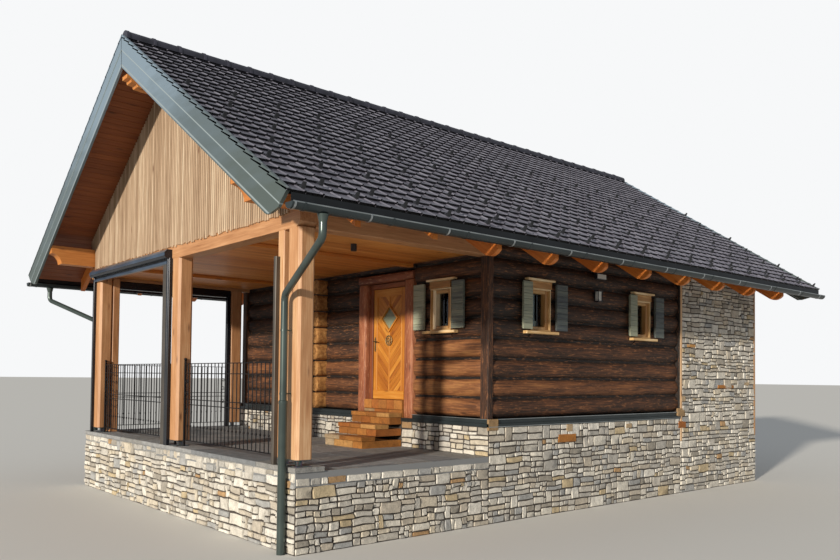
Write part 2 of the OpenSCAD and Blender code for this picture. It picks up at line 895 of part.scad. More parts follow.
// A sheet of the verge, a little under the tiles, to a given depth. Its foot is cut back and
// then level, so that it clears the gutter.
module verge_sheet(depth, y0, y1) {
    sink = 12;
    cut_back = 200;
    cut_drop = 172;
    foot_drop = 209;
    top_end = slope_point(slope_len, sink);
    foot_z = top_end[1] - foot_drop;
    level_x = (ridge_z - foot_z - (depth + sink) / cos(roof_pitch)) / tan(roof_pitch);
    ridge_x = seam_gap / 2;
    translate([0, y1, 0]) rotate([90, 0, 0]) linear_extrude(y1 - y0)
        polygon(concat([[ridge_x, roof_z(ridge_x, sink)], top_end],
                       [[top_end[0] - cut_back, top_end[1] - cut_drop]],
                       [[top_end[0] - 1.8 * cut_back, foot_z], [level_x, foot_z]],
                       [[ridge_x, roof_z(ridge_x, depth + sink)]]));
}

// A deep board with a second sheet lapped over its upper half
module verge_board() {
    lap_t = 8;
    lap_d = 220;
    verge_sheet(verge_d, verge_y + lap_t, verge_y + verge_t);
    intersection() {
        verge_sheet(verge_d, verge_y, verge_y + lap_t);
        slope_plate(-verge_d, lap_d, 2 * slope_len, verge_y - 1, verge_y + lap_t + 1);
    }
}

module verge_boards() {
    color("lightslategray") both_sides() {
        verge_board();
        mirror([0, 1, 0]) verge_board();
    }
}

gutter_out = 30;
gutter_drop = 160;
gutter_x = eave_half + gutter_out;
gutter_z = roof_z(eave_half, 0) - gutter_drop;
gutter_t = 5;

// Section of a gutter; a hook's section is a little larger, with an arm up to the tiles
module gutter_section(r, arm) {
    difference() {
        circle(r);
        circle(r - gutter_t);
        translate([-r - 1, 0]) square([2 * r + 2, r + 1]);
    }
    if (arm)
        polygon([[-r, -1], [gutter_t - r, -1],
                 [gutter_t - r, roof_z(gutter_x - r + gutter_t, tile_t) - gutter_z],
                 [-r, roof_z(gutter_x - r, tile_t) - gutter_z]]);
}

module gutters() {
    hook_w = 25;
    first_hook = 150;
    color("darkslategray") both_sides() {
        translate([gutter_x, verge_back_y, gutter_z]) rotate([90, 0, 0])
            linear_extrude(roof_l) gutter_section(gutter_r, false);
        for (y = [verge_y, verge_back_y - gutter_t])
            translate([gutter_x, y + gutter_t, gutter_z]) rotate([90, 0, 0])
                linear_extrude(gutter_t) difference() {
                    circle(gutter_r);
                    translate([-gutter_r - 1, 0]) square([2 * gutter_r + 2, gutter_r + 1]);
                }
        for (y = [verge_y + first_hook : rafter_pitch : verge_back_y - first_hook])
            translate([gutter_x, y + hook_w, gutter_z]) rotate([90, 0, 0])
                linear_extrude(hook_w) gutter_section(gutter_r + gutter_t, true);
    }
}

function unit(v) = v / norm(v);

// Cuts each inner corner of a run short, so that it turns in two steps
function eased(corners, cut) =
    let (last = len(corners) - 1)
    concat([corners[0]],
           [for (i = [1 : last - 1])
               each [corners[i] + cut * unit(corners[i - 1] - corners[i]),
                     corners[i] + cut * unit(corners[i + 1] - corners[i])]],
           [corners[last]]);

// A round pipe through a list of corners, with a beaded elbow at each inner one
module pipe_run(corners) {
    elbow_cut = 55;
    bead = 3;
    points = eased(corners, elbow_cut);
    last = len(points) - 1;
    for (i = [0 : last - 1])
        rod(points[i], points[i + 1], pipe_r);
    for (i = [1 : last - 1])
        translate(points[i]) sphere(pipe_r + bead);
}

// The right pipe comes down in front of the corner post. The left one comes down beside
// its post and steps out over the coping.
module downpipes() {
    outlet_y = verge_y + 425;
    outlet_h = 90;
    shoe_wall = 12;
    strap_w = 24;
    drop = 250;
    knee_z = plate_z - 850;
    outlet = [gutter_x, outlet_y, gutter_z - gutter_r - lay_gap];
    right_x = half_w - 150;
    right_y = coping_y - pipe_r - shoe_wall - 5;
    left_x = -half_w + 100;
    left_y = gable_y + 165;
    foot_x = -coping_x - pipe_r - shoe_wall - 10;
    step_z = coping_z + 430;
    step_drop = 190;
    color("darkslategray") {
        both_sides() translate(outlet - [0, 0, outlet_h])
            cylinder(r1 = pipe_r, r2 = gutter_r - 10, h = outlet_h);
        pipe_run([outlet - [0, 0, outlet_h], outlet - [0, 0, drop],
                  [right_x, right_y, knee_z], [right_x, right_y, 0]]);
        translate([right_x, right_y, 0]) cylinder(r = pipe_r + shoe_wall, h = floor_z + 880);
        for (z = [floor_z + 950, knee_z - 450])
            block([right_x - strap_w / 2, right_y, z], [right_x + strap_w / 2, gable_y, z + strap_w]);
        pipe_run([[-outlet[0], outlet[1], outlet[2] - outlet_h],
                  [-outlet[0], outlet[1], outlet[2] - drop],
                  [left_x, left_y, knee_z], [left_x, left_y, step_z],
                  [foot_x, left_y, step_z - step_drop], [foot_x, left_y, 0]]);
        translate([foot_x, left_y, 0]) cylinder(r = pipe_r + shoe_wall, h = floor_z + 100);
        for (z = [step_z + 100, knee_z - 450])
            block([left_x, left_y - strap_w / 2, z], [post_a_x, left_y + strap_w / 2, z + strap_w]);
    }
}

// A roller screen: a cassette, a drop bar under it and a guide rail at each end, all in
// front of the posts. The side screen hangs inside the left posts, and the right front bay
// has one short guide rail.
module screen_frames() {
    bar_h = 50;
    bar_d = 40;
    bar_in = 5;
    bar_gap = 30;
    side_h = 155;
    side_d = 120;
    side_guide = 80;
    short_guide_w = 60;
    short_guide_drop = 330;
    cassette_z = plate_z + 10;
    cassette_end = post_b_x;
    bar_z = cassette_z - bar_gap - bar_h;
    side_x = -half_w + post_d;
    color("black") {
        block([post_a_x, gable_y - cassette_d, cassette_z],
              [cassette_end, gable_y, cassette_z + cassette_h]);
        for (x = [post_a_x, post_b_x + guide_lap - guide_w])
            block([x, gable_y - guide_d, coping_z], [x + guide_w, gable_y, cassette_z]);
        block([post_a_x + guide_w, gable_y - guide_d + bar_in, bar_z],
              [post_b_x + guide_lap - guide_w, gable_y - guide_d + bar_in + bar_d, bar_z + bar_h]);
        block([side_x - side_d, gable_y + post_d, plate_z - side_h],
              [side_x, post_d_y, plate_z]);
        for (y = [gable_y + post_d, post_d_y - side_guide])
            block([side_x - side_guide, y, coping_z],
                  [side_x, y + side_guide, plate_z - side_h]);
        block([partner_x, gable_y - short_guide_w, coping_z],
              [partner_x + short_guide_w, gable_y, plate_z - short_guide_drop]);
    }
}

// A railing panel along X that fills the space between two posts: paired rails above and
// at half height, a bottom rail, round balusters and an upright with a ball at each end
module rail_panel(length) {
    top = railing_h - coping_t;
    pair = 165;
    mid_pair = 80;
    bottom = 90;
    rail_t = 12;
    upright_w = 30;
    ball_r = 24;
    end_gap = ball_r + 2;
    inner = length - 2 * end_gap;
    n = floor(inner / baluster_pitch);
    color("black") {
        for (z = [bottom, top / 2, top / 2 + mid_pair, top - pair, top - rail_t])
            block([0, -rail_t, z], [length, rail_t, z + rail_t]);
        for (i = [1 : n])
            translate([end_gap + i * inner / (n + 1), 0, bottom])
                cylinder(r = baluster_r, h = top - bottom);
        for (x = [end_gap, length - end_gap]) {
            block([x - upright_w / 2, -upright_w / 2, 0],
                  [x + upright_w / 2, upright_w / 2, top + 2 * ball_r]);
            translate([x, 0, top + 2.6 * ball_r]) sphere(ball_r);
        }
    }
}

module railings() {
    rail_y = gable_y + post_d / 2;
    side_x = -half_w + post_d / 2;
    side_y = coping_y + coping_w + coping_joint;
    translate([post_a_x + post_w, rail_y, coping_z])
        rail_panel(post_b_x - post_a_x - post_w);
    translate([post_b_x + post_w, rail_y, coping_z])
        rail_panel(partner_x - post_b_x - post_w);
    translate([side_x, side_y, coping_z]) rotate([0, 0, 90])
        rail_panel(post_d_y - side_y);
}

// A wall lamp and a floodlight on each side wall, and a spotlight under the terrace ceiling
module wall_lamps() {
    lamp_y = (cabin_y + side_window_1 + cabin_y + side_window_2) / 2;
    lamp_w = 100;
    lamp_h = 150;
    lamp_out = 90;
    lamp_z = window_bottom + 590;
    flood_w = 240;
    flood_h = 90;
    flood_out = 130;
    flood_z = log_top_z - 360;
    spot_w = 120;
    spot_h = 45;
    spot_x = 0.75 * half_w;
    spot_y = gable_y + 0.42 * terrace_l;
    color("black") {
        both_sides() {
            block([half_w, lamp_y - lamp_w / 2, lamp_z],
                  [half_w + lamp_out, lamp_y + lamp_w / 2, lamp_z + lamp_h]);
            block([half_w, lamp_y, flood_z], [half_w + flood_out, lamp_y + flood_w, flood_z + flood_h]);
        }
        block([spot_x, spot_y, plate_z - spot_h], [spot_x + spot_w, spot_y + spot_w, ceiling_z]);
    }
}

terrace_base_front();
terrace_base_sides();
terrace_coping();
terrace_floor();
plinth_front();
plinth_sides();
plinth_flashing();
cabin_floor();
floor_joists();
door_steps();
door_sill();
log_side_walls();
log_wall_front_left();
log_wall_front_right();
log_wall_over_door();
cross_wall_ends();
corner_boards();
stone_side_walls();
stone_wall_rear();
stone_edge_strips();
door_posts();
door_frame();
door_hinges();
door_leaf();
door_glass();
door_fittings();
hinge_barrels();
window_frames();
window_glass();
window_heads();
window_sills();
shutters();
terrace_posts();
post_feet();
tie_beam();
side_plates();
ceiling();
ceiling_beams();
purlins();
rafters();
gable_front();
gable_rear();
roof_boards();
roof_slope_left();
roof_slope_right();
snow_guards();
ridge_cap();
verge_boards();
gutters();
downpipes();
screen_frames();
railings();
wall_lamps();
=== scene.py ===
# Alpine chalet: a log cabin with a timber-framed terrace under one wide tiled roof.
# Lengths are in metres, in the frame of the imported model: X across the gable, Y along
# the ridge and Z up.
import math
import bpy
import numpy as np
from mathutils import Matrix, Vector


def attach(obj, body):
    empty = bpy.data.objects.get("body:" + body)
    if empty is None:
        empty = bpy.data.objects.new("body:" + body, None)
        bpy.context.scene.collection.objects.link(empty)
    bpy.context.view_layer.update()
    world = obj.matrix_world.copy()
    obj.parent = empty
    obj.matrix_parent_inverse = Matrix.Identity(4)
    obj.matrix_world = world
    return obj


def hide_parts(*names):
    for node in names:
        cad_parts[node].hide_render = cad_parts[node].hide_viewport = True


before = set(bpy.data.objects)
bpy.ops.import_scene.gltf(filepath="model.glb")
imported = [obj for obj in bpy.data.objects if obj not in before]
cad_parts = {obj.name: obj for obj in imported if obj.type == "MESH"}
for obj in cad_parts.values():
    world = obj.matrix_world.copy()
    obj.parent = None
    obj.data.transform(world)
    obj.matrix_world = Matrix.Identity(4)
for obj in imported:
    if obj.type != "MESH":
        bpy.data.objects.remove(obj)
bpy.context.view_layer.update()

# Camera. The view is taken from in front of the right corner at eye height, a little
# above the terrace, with a normal lens and its frame shifted up towards the roof.
yaw, pitch, roll = (math.radians(a) for a in (49.33, 1.69, 0.6))
ahead = np.array([-math.sin(yaw) * math.cos(pitch), math.cos(yaw) * math.cos(pitch), math.sin(pitch)])
level = np.array([math.cos(yaw), math.sin(yaw), 0.0])
above = np.cross(level, ahead)
turned = np.eye(4)
turned[:3, 0] = level * math.cos(roll) + above * math.sin(roll)
turned[:3, 1] = above * math.cos(roll) - level * math.sin(roll)
turned[:3, 2] = -ahead
turned[:3, 3] = (12.070, -10.790, 2.19)
camera = bpy.data.objects.new("camera", bpy.data.cameras.new("camera"))
camera.data.sensor_width = 36.0
camera.data.lens = 36.0 * 780.7 / 840
camera.data.shift_y = 73.5 / 840
camera.matrix_world = Matrix(turned)
bpy.context.scene.collection.objects.link(camera)
bpy.context.scene.camera = camera


# Stage. A plain pale floor and a warm low sun from the front right, with soft light from
# all round; the background is a plain white.
def linear(colour):
    """An sRGB hex colour as linear red, green, blue and alpha."""
    c = np.array([int(colour[i:i + 2], 16) for i in (0, 2, 4)]) / 255
    c = np.where(c <= 0.04045, c / 12.92, ((c + 0.055) / 1.055) ** 2.4)
    return (*c.tolist(), 1.0)


def add(tree, kind, settings=None, **inputs):
    """Adds a shader node with its settings. An input takes a value, an output or a node,
    whose first output is meant. A ramp's stops are pairs of place and colour or level."""
    made = tree.nodes.new("ShaderNode" + kind)
    for name, value in (settings or {}).items():
        if name == "stops":
            ramp = made.color_ramp.elements
            while len(ramp) < len(value):
                ramp.new(1.0)
            for element, (place, colour) in zip(ramp, value):
                element.position = place
                element.color = linear(colour) if isinstance(colour, str) else (colour, colour, colour, 1)
        elif name == "steps":
            made.color_ramp.interpolation = value
        else:
            setattr(made, name, value)
    for name, value in inputs.items():
        socket = made.inputs[int(name[1:]) if name[0] == "_" else name.replace("_", " ")]
        if isinstance(value, bpy.types.Node):
            value = value.outputs[0]
        if isinstance(value, bpy.types.NodeSocket):
            tree.links.new(value, socket)
        else:
            socket.default_value = value
    return made


def bare(name):
    """A new material with an empty node tree, and its output's surface socket."""
    made = bpy.data.materials.new(name)
    made.use_nodes = True
    made.node_tree.nodes.clear()
    return made, made.node_tree, made.node_tree.nodes.new("ShaderNodeOutputMaterial").inputs[0]


half_side = 400.0
corners = [(x * half_side, y * half_side, 0) for x, y in ((-1, -1), (1, -1), (1, 1), (-1, 1))]
floor_mesh = bpy.data.meshes.new("floor")
floor_mesh.from_pydata(corners, [], [(0, 1, 2, 3)])
floor_mesh.update()
floor = bpy.data.objects.new("floor", floor_mesh)
bpy.context.scene.collection.objects.link(floor)
# Matt plaster: an even, nearly white ground.
floor_plaster, tree, out = bare("floor_plaster")
tree.links.new(add(tree, "BsdfDiffuse", Color=linear("e2e0db")).outputs[0], out)
floor_mesh.materials.append(floor_plaster)

world = bpy.data.worlds.new("studio")
bpy.context.scene.world = world
world.use_nodes = True
tree = world.node_tree
tree.nodes.clear()
rays = add(tree, "LightPath").outputs
seen = add(tree, "Math", {"operation": "MAXIMUM"}, _0=rays["Is Camera Ray"], _1=rays["Is Transmission Ray"])
fill = add(tree, "Background", Color=linear("dfe6ee"), Strength=0.42)
plain = add(tree, "Background", Color=linear("f7f8f9"), Strength=1.0)
both = add(tree, "MixShader", _0=seen, _1=fill, _2=plain)
tree.links.new(both.outputs[0], add(tree, "OutputWorld").inputs[0])

key = bpy.data.objects.new("key", bpy.data.lights.new("key", "SUN"))
key.data.energy = 4.2
key.data.angle = math.radians(3)
key.data.color = (1.0, 0.92, 0.80)
key.rotation_mode = "QUATERNION"
key.rotation_quaternion = Vector((0.30, -0.93, 0.23)).to_track_quat("Z", "Y")
bpy.context.scene.collection.objects.link(key)
bpy.context.scene.view_settings.view_transform = "Standard"


# Stone facing. Split stones of many lengths are laid nearly dry in low courses over the
# masonry of the terrace, the plinth and the rear room. They stand out unevenly, the
# joints are deep and painted dark as shade, and here and there a stone is ochre.
chance = np.random.default_rng(11)
half_w = 3.85
stone_x = 3.88
terrace_y = -5.725
plinth_y = -2.385
rear_y = 2.895
back_y = 5.915
floor_z = 1.0
lip_z = 1.44
wall_top_z = 4.262


def piece(name, parts, body, material, stands_for=(), smooth=35):
    """One mesh object from parts, each a tuple of points, a list of face arrays, grain
    coordinates and tones. The points are laid end to end and the faces renumbered, and
    edges sharper than the smooth angle stay sharp."""
    points, grain, tones = (np.concatenate([p[k] for p in parts]) for k in (0, 2, 3))
    first = np.cumsum([0] + [len(p[0]) for p in parts[:-1]])
    faces = [f + k for p, k in zip(parts, first) for f in p[1]]
    sizes = np.concatenate([np.full(len(f), f.shape[1]) for f in faces])
    mesh = bpy.data.meshes.new(name)
    mesh.vertices.add(len(points))
    mesh.loops.add(int(sizes.sum()))
    mesh.polygons.add(len(sizes))
    mesh.vertices.foreach_set("co", points.ravel())
    mesh.loops.foreach_set("vertex_index", np.concatenate([f.ravel() for f in faces]))
    mesh.polygons.foreach_set("loop_start", np.cumsum(np.append(0, sizes[:-1])))
    mesh.attributes.new("grain", "FLOAT_VECTOR", "POINT").data.foreach_set("vector", grain.ravel())
    mesh.attributes.new("tone", "FLOAT", "POINT").data.foreach_set("value", tones)
    mesh.update(calc_edges=True)
    mesh.shade_smooth()
    mesh.set_sharp_from_angle(angle=math.radians(smooth))
    mesh.materials.append(material)
    made = bpy.data.objects.new(name, mesh)
    bpy.context.scene.collection.objects.link(made)
    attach(made, body)
    if stands_for:
        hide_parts(*stands_for)


def stones(corner, normal, length, height, proud=(0.004, 0.028)):
    """A stretch of facing along X or Y. Courses of uneven height are cut into stones of
    uneven length, and most stones into two layers. Each stone is a 5 by 5 grid: its rim
    lies just inside the wall, and its inner points stand out by a level, a slope and a
    little roughness. The joints wave by a few sines, less towards the wall's ends."""
    course, longest, joint = 0.165, 0.38, 0.0035
    corner, normal = np.asarray(corner, float), np.asarray(normal, float)
    run, up = np.abs(normal[[1, 0, 2]]), np.array([0, 0, 1.0])
    cells = []
    z = 0.0
    while z < height - 0.03:
        h = min(chance.uniform(0.8, 1.2) * course, height - z)
        if height - z - h < 0.06:
            h = height - z
        u = 0.0
        while u < length - 0.01:
            w = chance.uniform(0.12, 1.0) * longest
            if length - u - w < 0.1:
                w = length - u
            if h < 0.11 or chance.random() < 0.2:
                cells.append((u, u + w, z, z + h))
            else:
                cut = z + h * chance.uniform(0.35, 0.65)
                cells.append((u, u + w, z, cut))
                if w > 0.2 and chance.random() < 0.5:
                    mid = u + w * chance.uniform(0.35, 0.65)
                    cells += [(u, mid, cut, z + h), (mid, u + w, cut, z + h)]
                else:
                    cells.append((u, u + w, cut, z + h))
            u += w
        z += h
    cell = np.array(cells)
    n = len(cell)
    low, high = cell[:, 0::2] + joint, cell[:, 1::2] - joint
    i, j = np.meshgrid(np.arange(5), np.arange(5), indexing="ij")
    rim = (i % 4 == 0) | (j % 4 == 0)
    size = high - low
    inset = np.minimum(0.12, 0.014 / size)
    share = np.stack([0 * inset, inset, 0 * inset + 0.5, 1 - inset, 0 * inset + 1], 1)
    place = np.stack([share[:, i, 0], share[:, j, 1]], -1)
    place = low[:, None, None] + size[:, None, None] * place
    inward = np.sign(place[:, 2:3, 2:3] - place)
    place += np.where(rim[..., None], inward * chance.uniform(0, 0.007, place.shape),
                      chance.normal(0, 0.003, place.shape))
    lean = (place[..., 1] - place[:, 2:3, 2:3, 1]) / 0.05
    u, v = place[..., 0], place[..., 1]
    window = np.sin(np.pi * np.clip(v / height, 0, 1))
    window = window * np.minimum(1, np.sin(np.pi * np.clip(u / length, 0, 1)) * 6)
    sway = 0.01 * np.sin(21 * v + 2.3 * u)
    rise = 0.007 * np.sin(6.1 * u + 3.7 * v) + 0.006 * np.sin(17 * u + 9 * v)
    place = np.stack([u + window * sway, v + window * rise], -1)
    out_by = chance.uniform(*proud, n)[:, None, None] + chance.normal(0, 0.005, (n, 1, 1)) * lean
    out_by = np.clip(out_by + chance.normal(0, 0.0045, (n, 5, 5)), 0.001, proud[1] + 0.004)
    out_by = np.where(rim, -0.006, out_by)
    points = corner + place[..., :1] * run + place[..., 1:] * up + out_by[..., None] * normal
    a = (i[:4, :4] * 5 + j[:4, :4]).ravel()
    quads = np.stack([a, a + 5, a + 6, a + 1], 1)
    edge = np.array([0, 1, 2, 3, 4, 9, 14, 19, 24, 23, 22, 21, 20, 15, 10, 5])
    if np.cross(run, up) @ normal < 0:
        quads, edge = quads[:, ::-1], edge[::-1]
    base = 25 * np.arange(n)[:, None]
    faces = [(base[..., None] + quads[None]).reshape(-1, 4), base + edge[None]]
    grain = points.reshape(n, 25, 3) + chance.uniform(0, 50, (n, 1, 3))
    return points.reshape(-1, 3), faces, grain.reshape(-1, 3), np.repeat(chance.random(n), 25)


def split_stone(name, stops):
    """Split natural stone: matt, with a fine broken grain of 3 to 30 mm. Each stone keeps
    one colour of the ramp by its tone, clouded by noise."""
    material, tree, out = bare(name)
    grain = add(tree, "Attribute", {"attribute_name": "grain"}).outputs["Vector"]
    tone = add(tree, "Attribute", {"attribute_name": "tone"}).outputs["Fac"]
    cloud = add(tree, "TexNoise", Vector=grain, Scale=9.0, Detail=4.0, Roughness=0.6)
    grit = add(tree, "TexNoise", Vector=grain, Scale=60.0, Detail=3.0, Roughness=0.65)
    mixed = add(tree, "ValToRGB", {"stops": stops, "steps": "CONSTANT"}, Fac=tone)
    for noise, dark, light, share in ((cloud, 0.3, 0.62, 1.0), (grit, 0.35, 0.6, 0.8)):
        level = add(tree, "ValToRGB", {"stops": [(dark, 0.7), (light, 1.0)]}, Fac=noise)
        mixed = add(tree, "Mix", {"data_type": "RGBA", "blend_type": "MULTIPLY"},
                    _0=share, _6=mixed, _7=level).outputs[2]
    broken = add(tree, "Math", {"operation": "MULTIPLY_ADD"}, _0=cloud, _1=1.6, _2=grit)
    bump = add(tree, "Bump", Strength=0.8, Distance=0.012, Height=broken)
    shade = add(tree, "BsdfPrincipled", Base_Color=mixed, Roughness=0.88, Normal=bump)
    tree.links.new(shade.outputs[0], out)
    return material


# Quartzite and limestone: greys and off-whites with buff, some blue-grey, a little ochre.
facing_stone = split_stone("split_quartzite", [
    (0.0, "d2ccc1"), (0.14, "e9e3d6"), (0.28, "c0bcb4"), (0.40, "dbd0bc"), (0.50, "b3b3b1"), (0.58, "efeadf"),
    (0.70, "cbc1b1"), (0.80, "e1dbcf"), (0.90, "aca599"), (0.965, "d0bd9a"), (0.99, "be9a70")])

coping_low, slab_low = 0.995, 0.93
terrace_run = plinth_y - terrace_y
facing = [stones((-stone_x, terrace_y, 0), (0, -1, 0), 2 * stone_x, coping_low),
          stones((stone_x, terrace_y, 0), (1, 0, 0), terrace_run, slab_low),
          stones((-stone_x, terrace_y, 0), (-1, 0, 0), terrace_run, coping_low)]
piece("terrace_facing", facing, "house", facing_stone)
door_left, door_right = 0.76, 1.83
flat = (0.003, 0.012)
plinth_h = lip_z - floor_z
facing = [stones((-stone_x, plinth_y, floor_z), (0, -1, 0), stone_x + door_left, plinth_h, flat),
          stones((door_right, plinth_y, floor_z), (0, -1, 0), stone_x - door_right, plinth_h, flat)]
for side in (-1, 1):
    facing.append(stones((side * stone_x, plinth_y, 0), (side, 0, 0), rear_y - plinth_y, lip_z, flat))
piece("plinth_facing", facing, "house", facing_stone)
strip = 0.06
for side, end in ((-1, "left"), (1, "right")):
    facing = [stones((side * stone_x, rear_y, 0), (side, 0, 0), back_y - rear_y, floor_z),
              stones((side * stone_x, rear_y + strip, floor_z), (side, 0, 0), back_y - rear_y - 2 * strip,
                     wall_top_z - floor_z)]
    piece("wall_facing_" + end, facing, "house", facing_stone)
facing = [stones((-stone_x, back_y, 0), (0, 1, 0), 2 * stone_x, wall_top_z)]
piece("wall_facing_rear", facing, "house", facing_stone)


def mottled(name, scale, stops, metal, rough, detail=2.0, dents=None, clear=0.0, broken=0.5, grained=False):
    """A material whose colour wavers between the stops by a noise in object coordinates or
    in the grain's, or one even colour. Broken is the noise's roughness, dents are the
    strength and depth of the bump, and clear lets light through."""
    material, tree, out = bare(name)
    spot = add(tree, "TexCoord").outputs["Object"]
    if grained:
        spot = add(tree, "Attribute", {"attribute_name": "grain"}).outputs["Vector"]
    cloud = add(tree, "TexNoise", Vector=spot, Scale=scale, Detail=detail, Roughness=broken)
    colour = linear(stops) if isinstance(stops, str) else add(tree, "ValToRGB", {"stops": stops}, Fac=cloud)
    shade = add(tree, "BsdfPrincipled", Base_Color=colour, Metallic=metal, Roughness=rough,
                Transmission_Weight=clear)
    if dents:
        bump = add(tree, "Bump", Strength=dents[0], Distance=dents[1], Height=cloud)
        tree.links.new(bump.outputs[0], shade.inputs["Normal"])
    tree.links.new(shade.outputs[0], out)
    return material


def finish(names, material):
    """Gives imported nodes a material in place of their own."""
    for name in names.split():
        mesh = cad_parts[name].data
        mesh.materials.clear()
        mesh.materials.append(material)


# The masonry behind the facing shows only in the open joints, as rough mortar painted dark as the joints'
# shade.
joint_shade_mortar = mottled("joint_shade_mortar", 70.0, [(0.35, "2c2824"), (0.65, "57504a")], 0.0, 0.95, 3.0, (0.5, 0.004))
finish("terrace_base_front terrace_base_sides plinth_front plinth_sides", joint_shade_mortar)
finish("stone_side_walls stone_wall_rear", joint_shade_mortar)


# Paving and coping. Sawn grey slabs lie on the terrace, and thick coping stones with a
# sawn edge cap the retaining walls at the front and the left.
def spread(*columns):
    """Points from columns of coordinates; a single number fills its whole column."""
    return np.stack(np.broadcast_arrays(*columns), -1).astype(float)


def timbers(start, end, across, width, depth, edge=0.004, tone=None):
    """Straight bars of eight-cornered section, one for each pair of ends. A corner is the
    end's centre, plus its place across, plus its place along up, where up is the bar's
    direction crossed with across. Grain runs along the bar from a random start."""
    start, end = np.atleast_2d(np.asarray(start, float)), np.atleast_2d(np.asarray(end, float))
    n = max(len(start), len(end))
    start, end = np.broadcast_to(start, (n, 3)), np.broadcast_to(end, (n, 3))
    along = end - start
    length = np.linalg.norm(along, axis=1, keepdims=True)
    along = along / length
    across = np.broadcast_to(np.asarray(across, float), (n, 3))
    up = np.cross(along, across)
    w, d, e = (np.broadcast_to(np.asarray(v, float), (n,))[:, None] for v in (width, depth, edge))
    w, d = w / 2, d / 2
    a = np.concatenate([w, w, w - e, e - w, -w, -w, e - w, w - e], 1)
    b = np.concatenate([e - d, d - e, d, d, d - e, e - d, -d, -d], 1)
    ends = np.stack([start, end], 1)[:, :, None]
    points = ends + (a[..., None] * across[:, None] + b[..., None] * up[:, None])[:, None]
    base = 16 * np.arange(n)[:, None]
    j = np.arange(8)
    k = (j + 1) % 8
    sides = np.stack([j, k, k + 8, j + 8], 1)
    faces = [(base[..., None] + sides[None]).reshape(-1, 4), base + j[::-1], base + 8 + j]
    shift = chance.uniform(0, 90, (n, 1, 1))
    run = np.stack([np.zeros((n, 8)), np.broadcast_to(length, (n, 8))], 1)
    grain = spread(run + shift, a[:, None] + shift / 7, b[:, None])
    tones = chance.random(n) if tone is None else np.broadcast_to(np.asarray(tone, float), (n,))
    return points.reshape(-1, 3), faces, grain.reshape(-1, 3), np.repeat(tones, 16)


def blocks(first, second, edge=0.004, tone=None, along=0):
    """Blocks between opposite corners, as bars that run along the given axis."""
    first, second = np.atleast_2d(np.asarray(first, float)), np.atleast_2d(np.asarray(second, float))
    low, high = np.minimum(first, second), np.maximum(first, second)
    start, end = (low + high) / 2, (low + high) / 2
    start[:, along], end[:, along] = low[:, along], high[:, along]
    side, other = (along + 1) % 3, (along + 2) % 3
    size = high - low
    return timbers(start, end, np.eye(3)[side], size[:, side], size[:, other], edge, tone)


# Sawn gneiss: even cool greys, a little different from slab to slab.
sawn_stone = split_stone("sawn_gneiss", [
    (0.0, "8f9193"), (0.25, "a2a3a3"), (0.5, "86898c"), (0.75, "989794")])
joint, coping_x, coping_out, coping_in, coping_top = 0.008, 3.9, -5.745, -5.315, 1.06
side_in = -3.47
count = 8
step = (2 * coping_x + joint) / count
x = -coping_x + step * np.arange(count)
coping = [blocks(spread(x, coping_out, floor_z), spread(x + step - joint, coping_in, coping_top), 0.006)]
count, side_run = 3, 2.914
y = coping_in + joint + (side_run + joint) / count * np.arange(count)
far_y = y + side_run / count - joint
coping.append(blocks(spread(-coping_x, y, floor_z), spread(side_in, far_y, coping_top), 0.006, along=1))
piece("coping_stones", coping, "house", sawn_stone, ["terrace_coping"])
slab, joint, slab_z0, slab_z1 = 0.6, 0.003, 0.985, 1.004
x, y = np.meshgrid(np.arange(side_in + 0.01, stone_x - 0.05, slab), np.arange(-5.30, plinth_y - 0.05, slab))
x, y = x.ravel(), y.ravel()
far_x, far_y = np.minimum(x + slab, stone_x) - joint, np.minimum(y + slab, plinth_y) - joint
paving = [blocks(spread(x + joint, y + joint, slab_z0), spread(far_x, far_y, slab_z1), 0.002)]
piece("terrace_slabs", paving, "house", sawn_stone)
finish("terrace_floor", sawn_stone)


# Door steps and sill. Three broad steps of ochre split stone, each a few thick treads on
# risers of smaller stones, and a sill of five blocks in a row under the door.
cabin_y = -2.355
sill_z, sill_in, sill_low, sill_mid = 1.78, -2.14, 1.478, 1.62
# Ochre sandstone: warm browns from stone to stone, with a few greyish ones.
ochre_stone = split_stone("ochre_sandstone", [
    (0.0, "b97a38"), (0.2, "a96c30"), (0.4, "cf9a5a"), (0.55, "a98a63"), (0.7, "c2a987"), (0.85, "a9652a")])
steps = []
tread, rise, tread_t, rebate = 0.28, 0.19, 0.07, 0.018
for k in (1, 2, 3):
    y = plinth_y - tread * (4 - k)
    z = floor_z + rise * k
    cuts = np.array([door_left, *(door_left + chance.uniform(0.3, 0.45) * i for i in (1, 2)), door_right])
    last_y = plinth_y - 0.005
    far_y = y + tread if k < 3 else last_y
    steps.append(blocks(spread(cuts[:-1] + joint, y, z - tread_t), spread(cuts[1:] - joint, far_y, z), 0.007))
    cuts = np.linspace(door_left, door_right, 5)
    steps.append(blocks(spread(cuts[:-1] + 0.004, y + rebate, z - rise),
                        spread(cuts[1:] - 0.004, last_y, z - tread_t - 0.004), 0.008))
piece("step_stones", steps, "house", ochre_stone, ["door_steps"])
cuts = np.linspace(door_left, door_right, 6) + np.array([0, 0.01, -0.012, 0.008, -0.006, 0])
sill = [blocks(spread(cuts[:-1] + joint, plinth_y, sill_mid), spread(cuts[1:] - joint, sill_in, sill_z), 0.008,
               tone=(0.05, 0.9, 0.25, 0.88, 0.1))]
for x0, x1, back_by in ((door_left, 1.06, 0.01), (1.066, 1.45, 0.004), (1.456, door_right, 0.012)):
    sill.append(blocks((x0, plinth_y + back_by, sill_low), (x1, sill_in, sill_mid - 0.005), 0.006))
piece("sill_stones", sill, "house", ochre_stone, ["door_sill"])
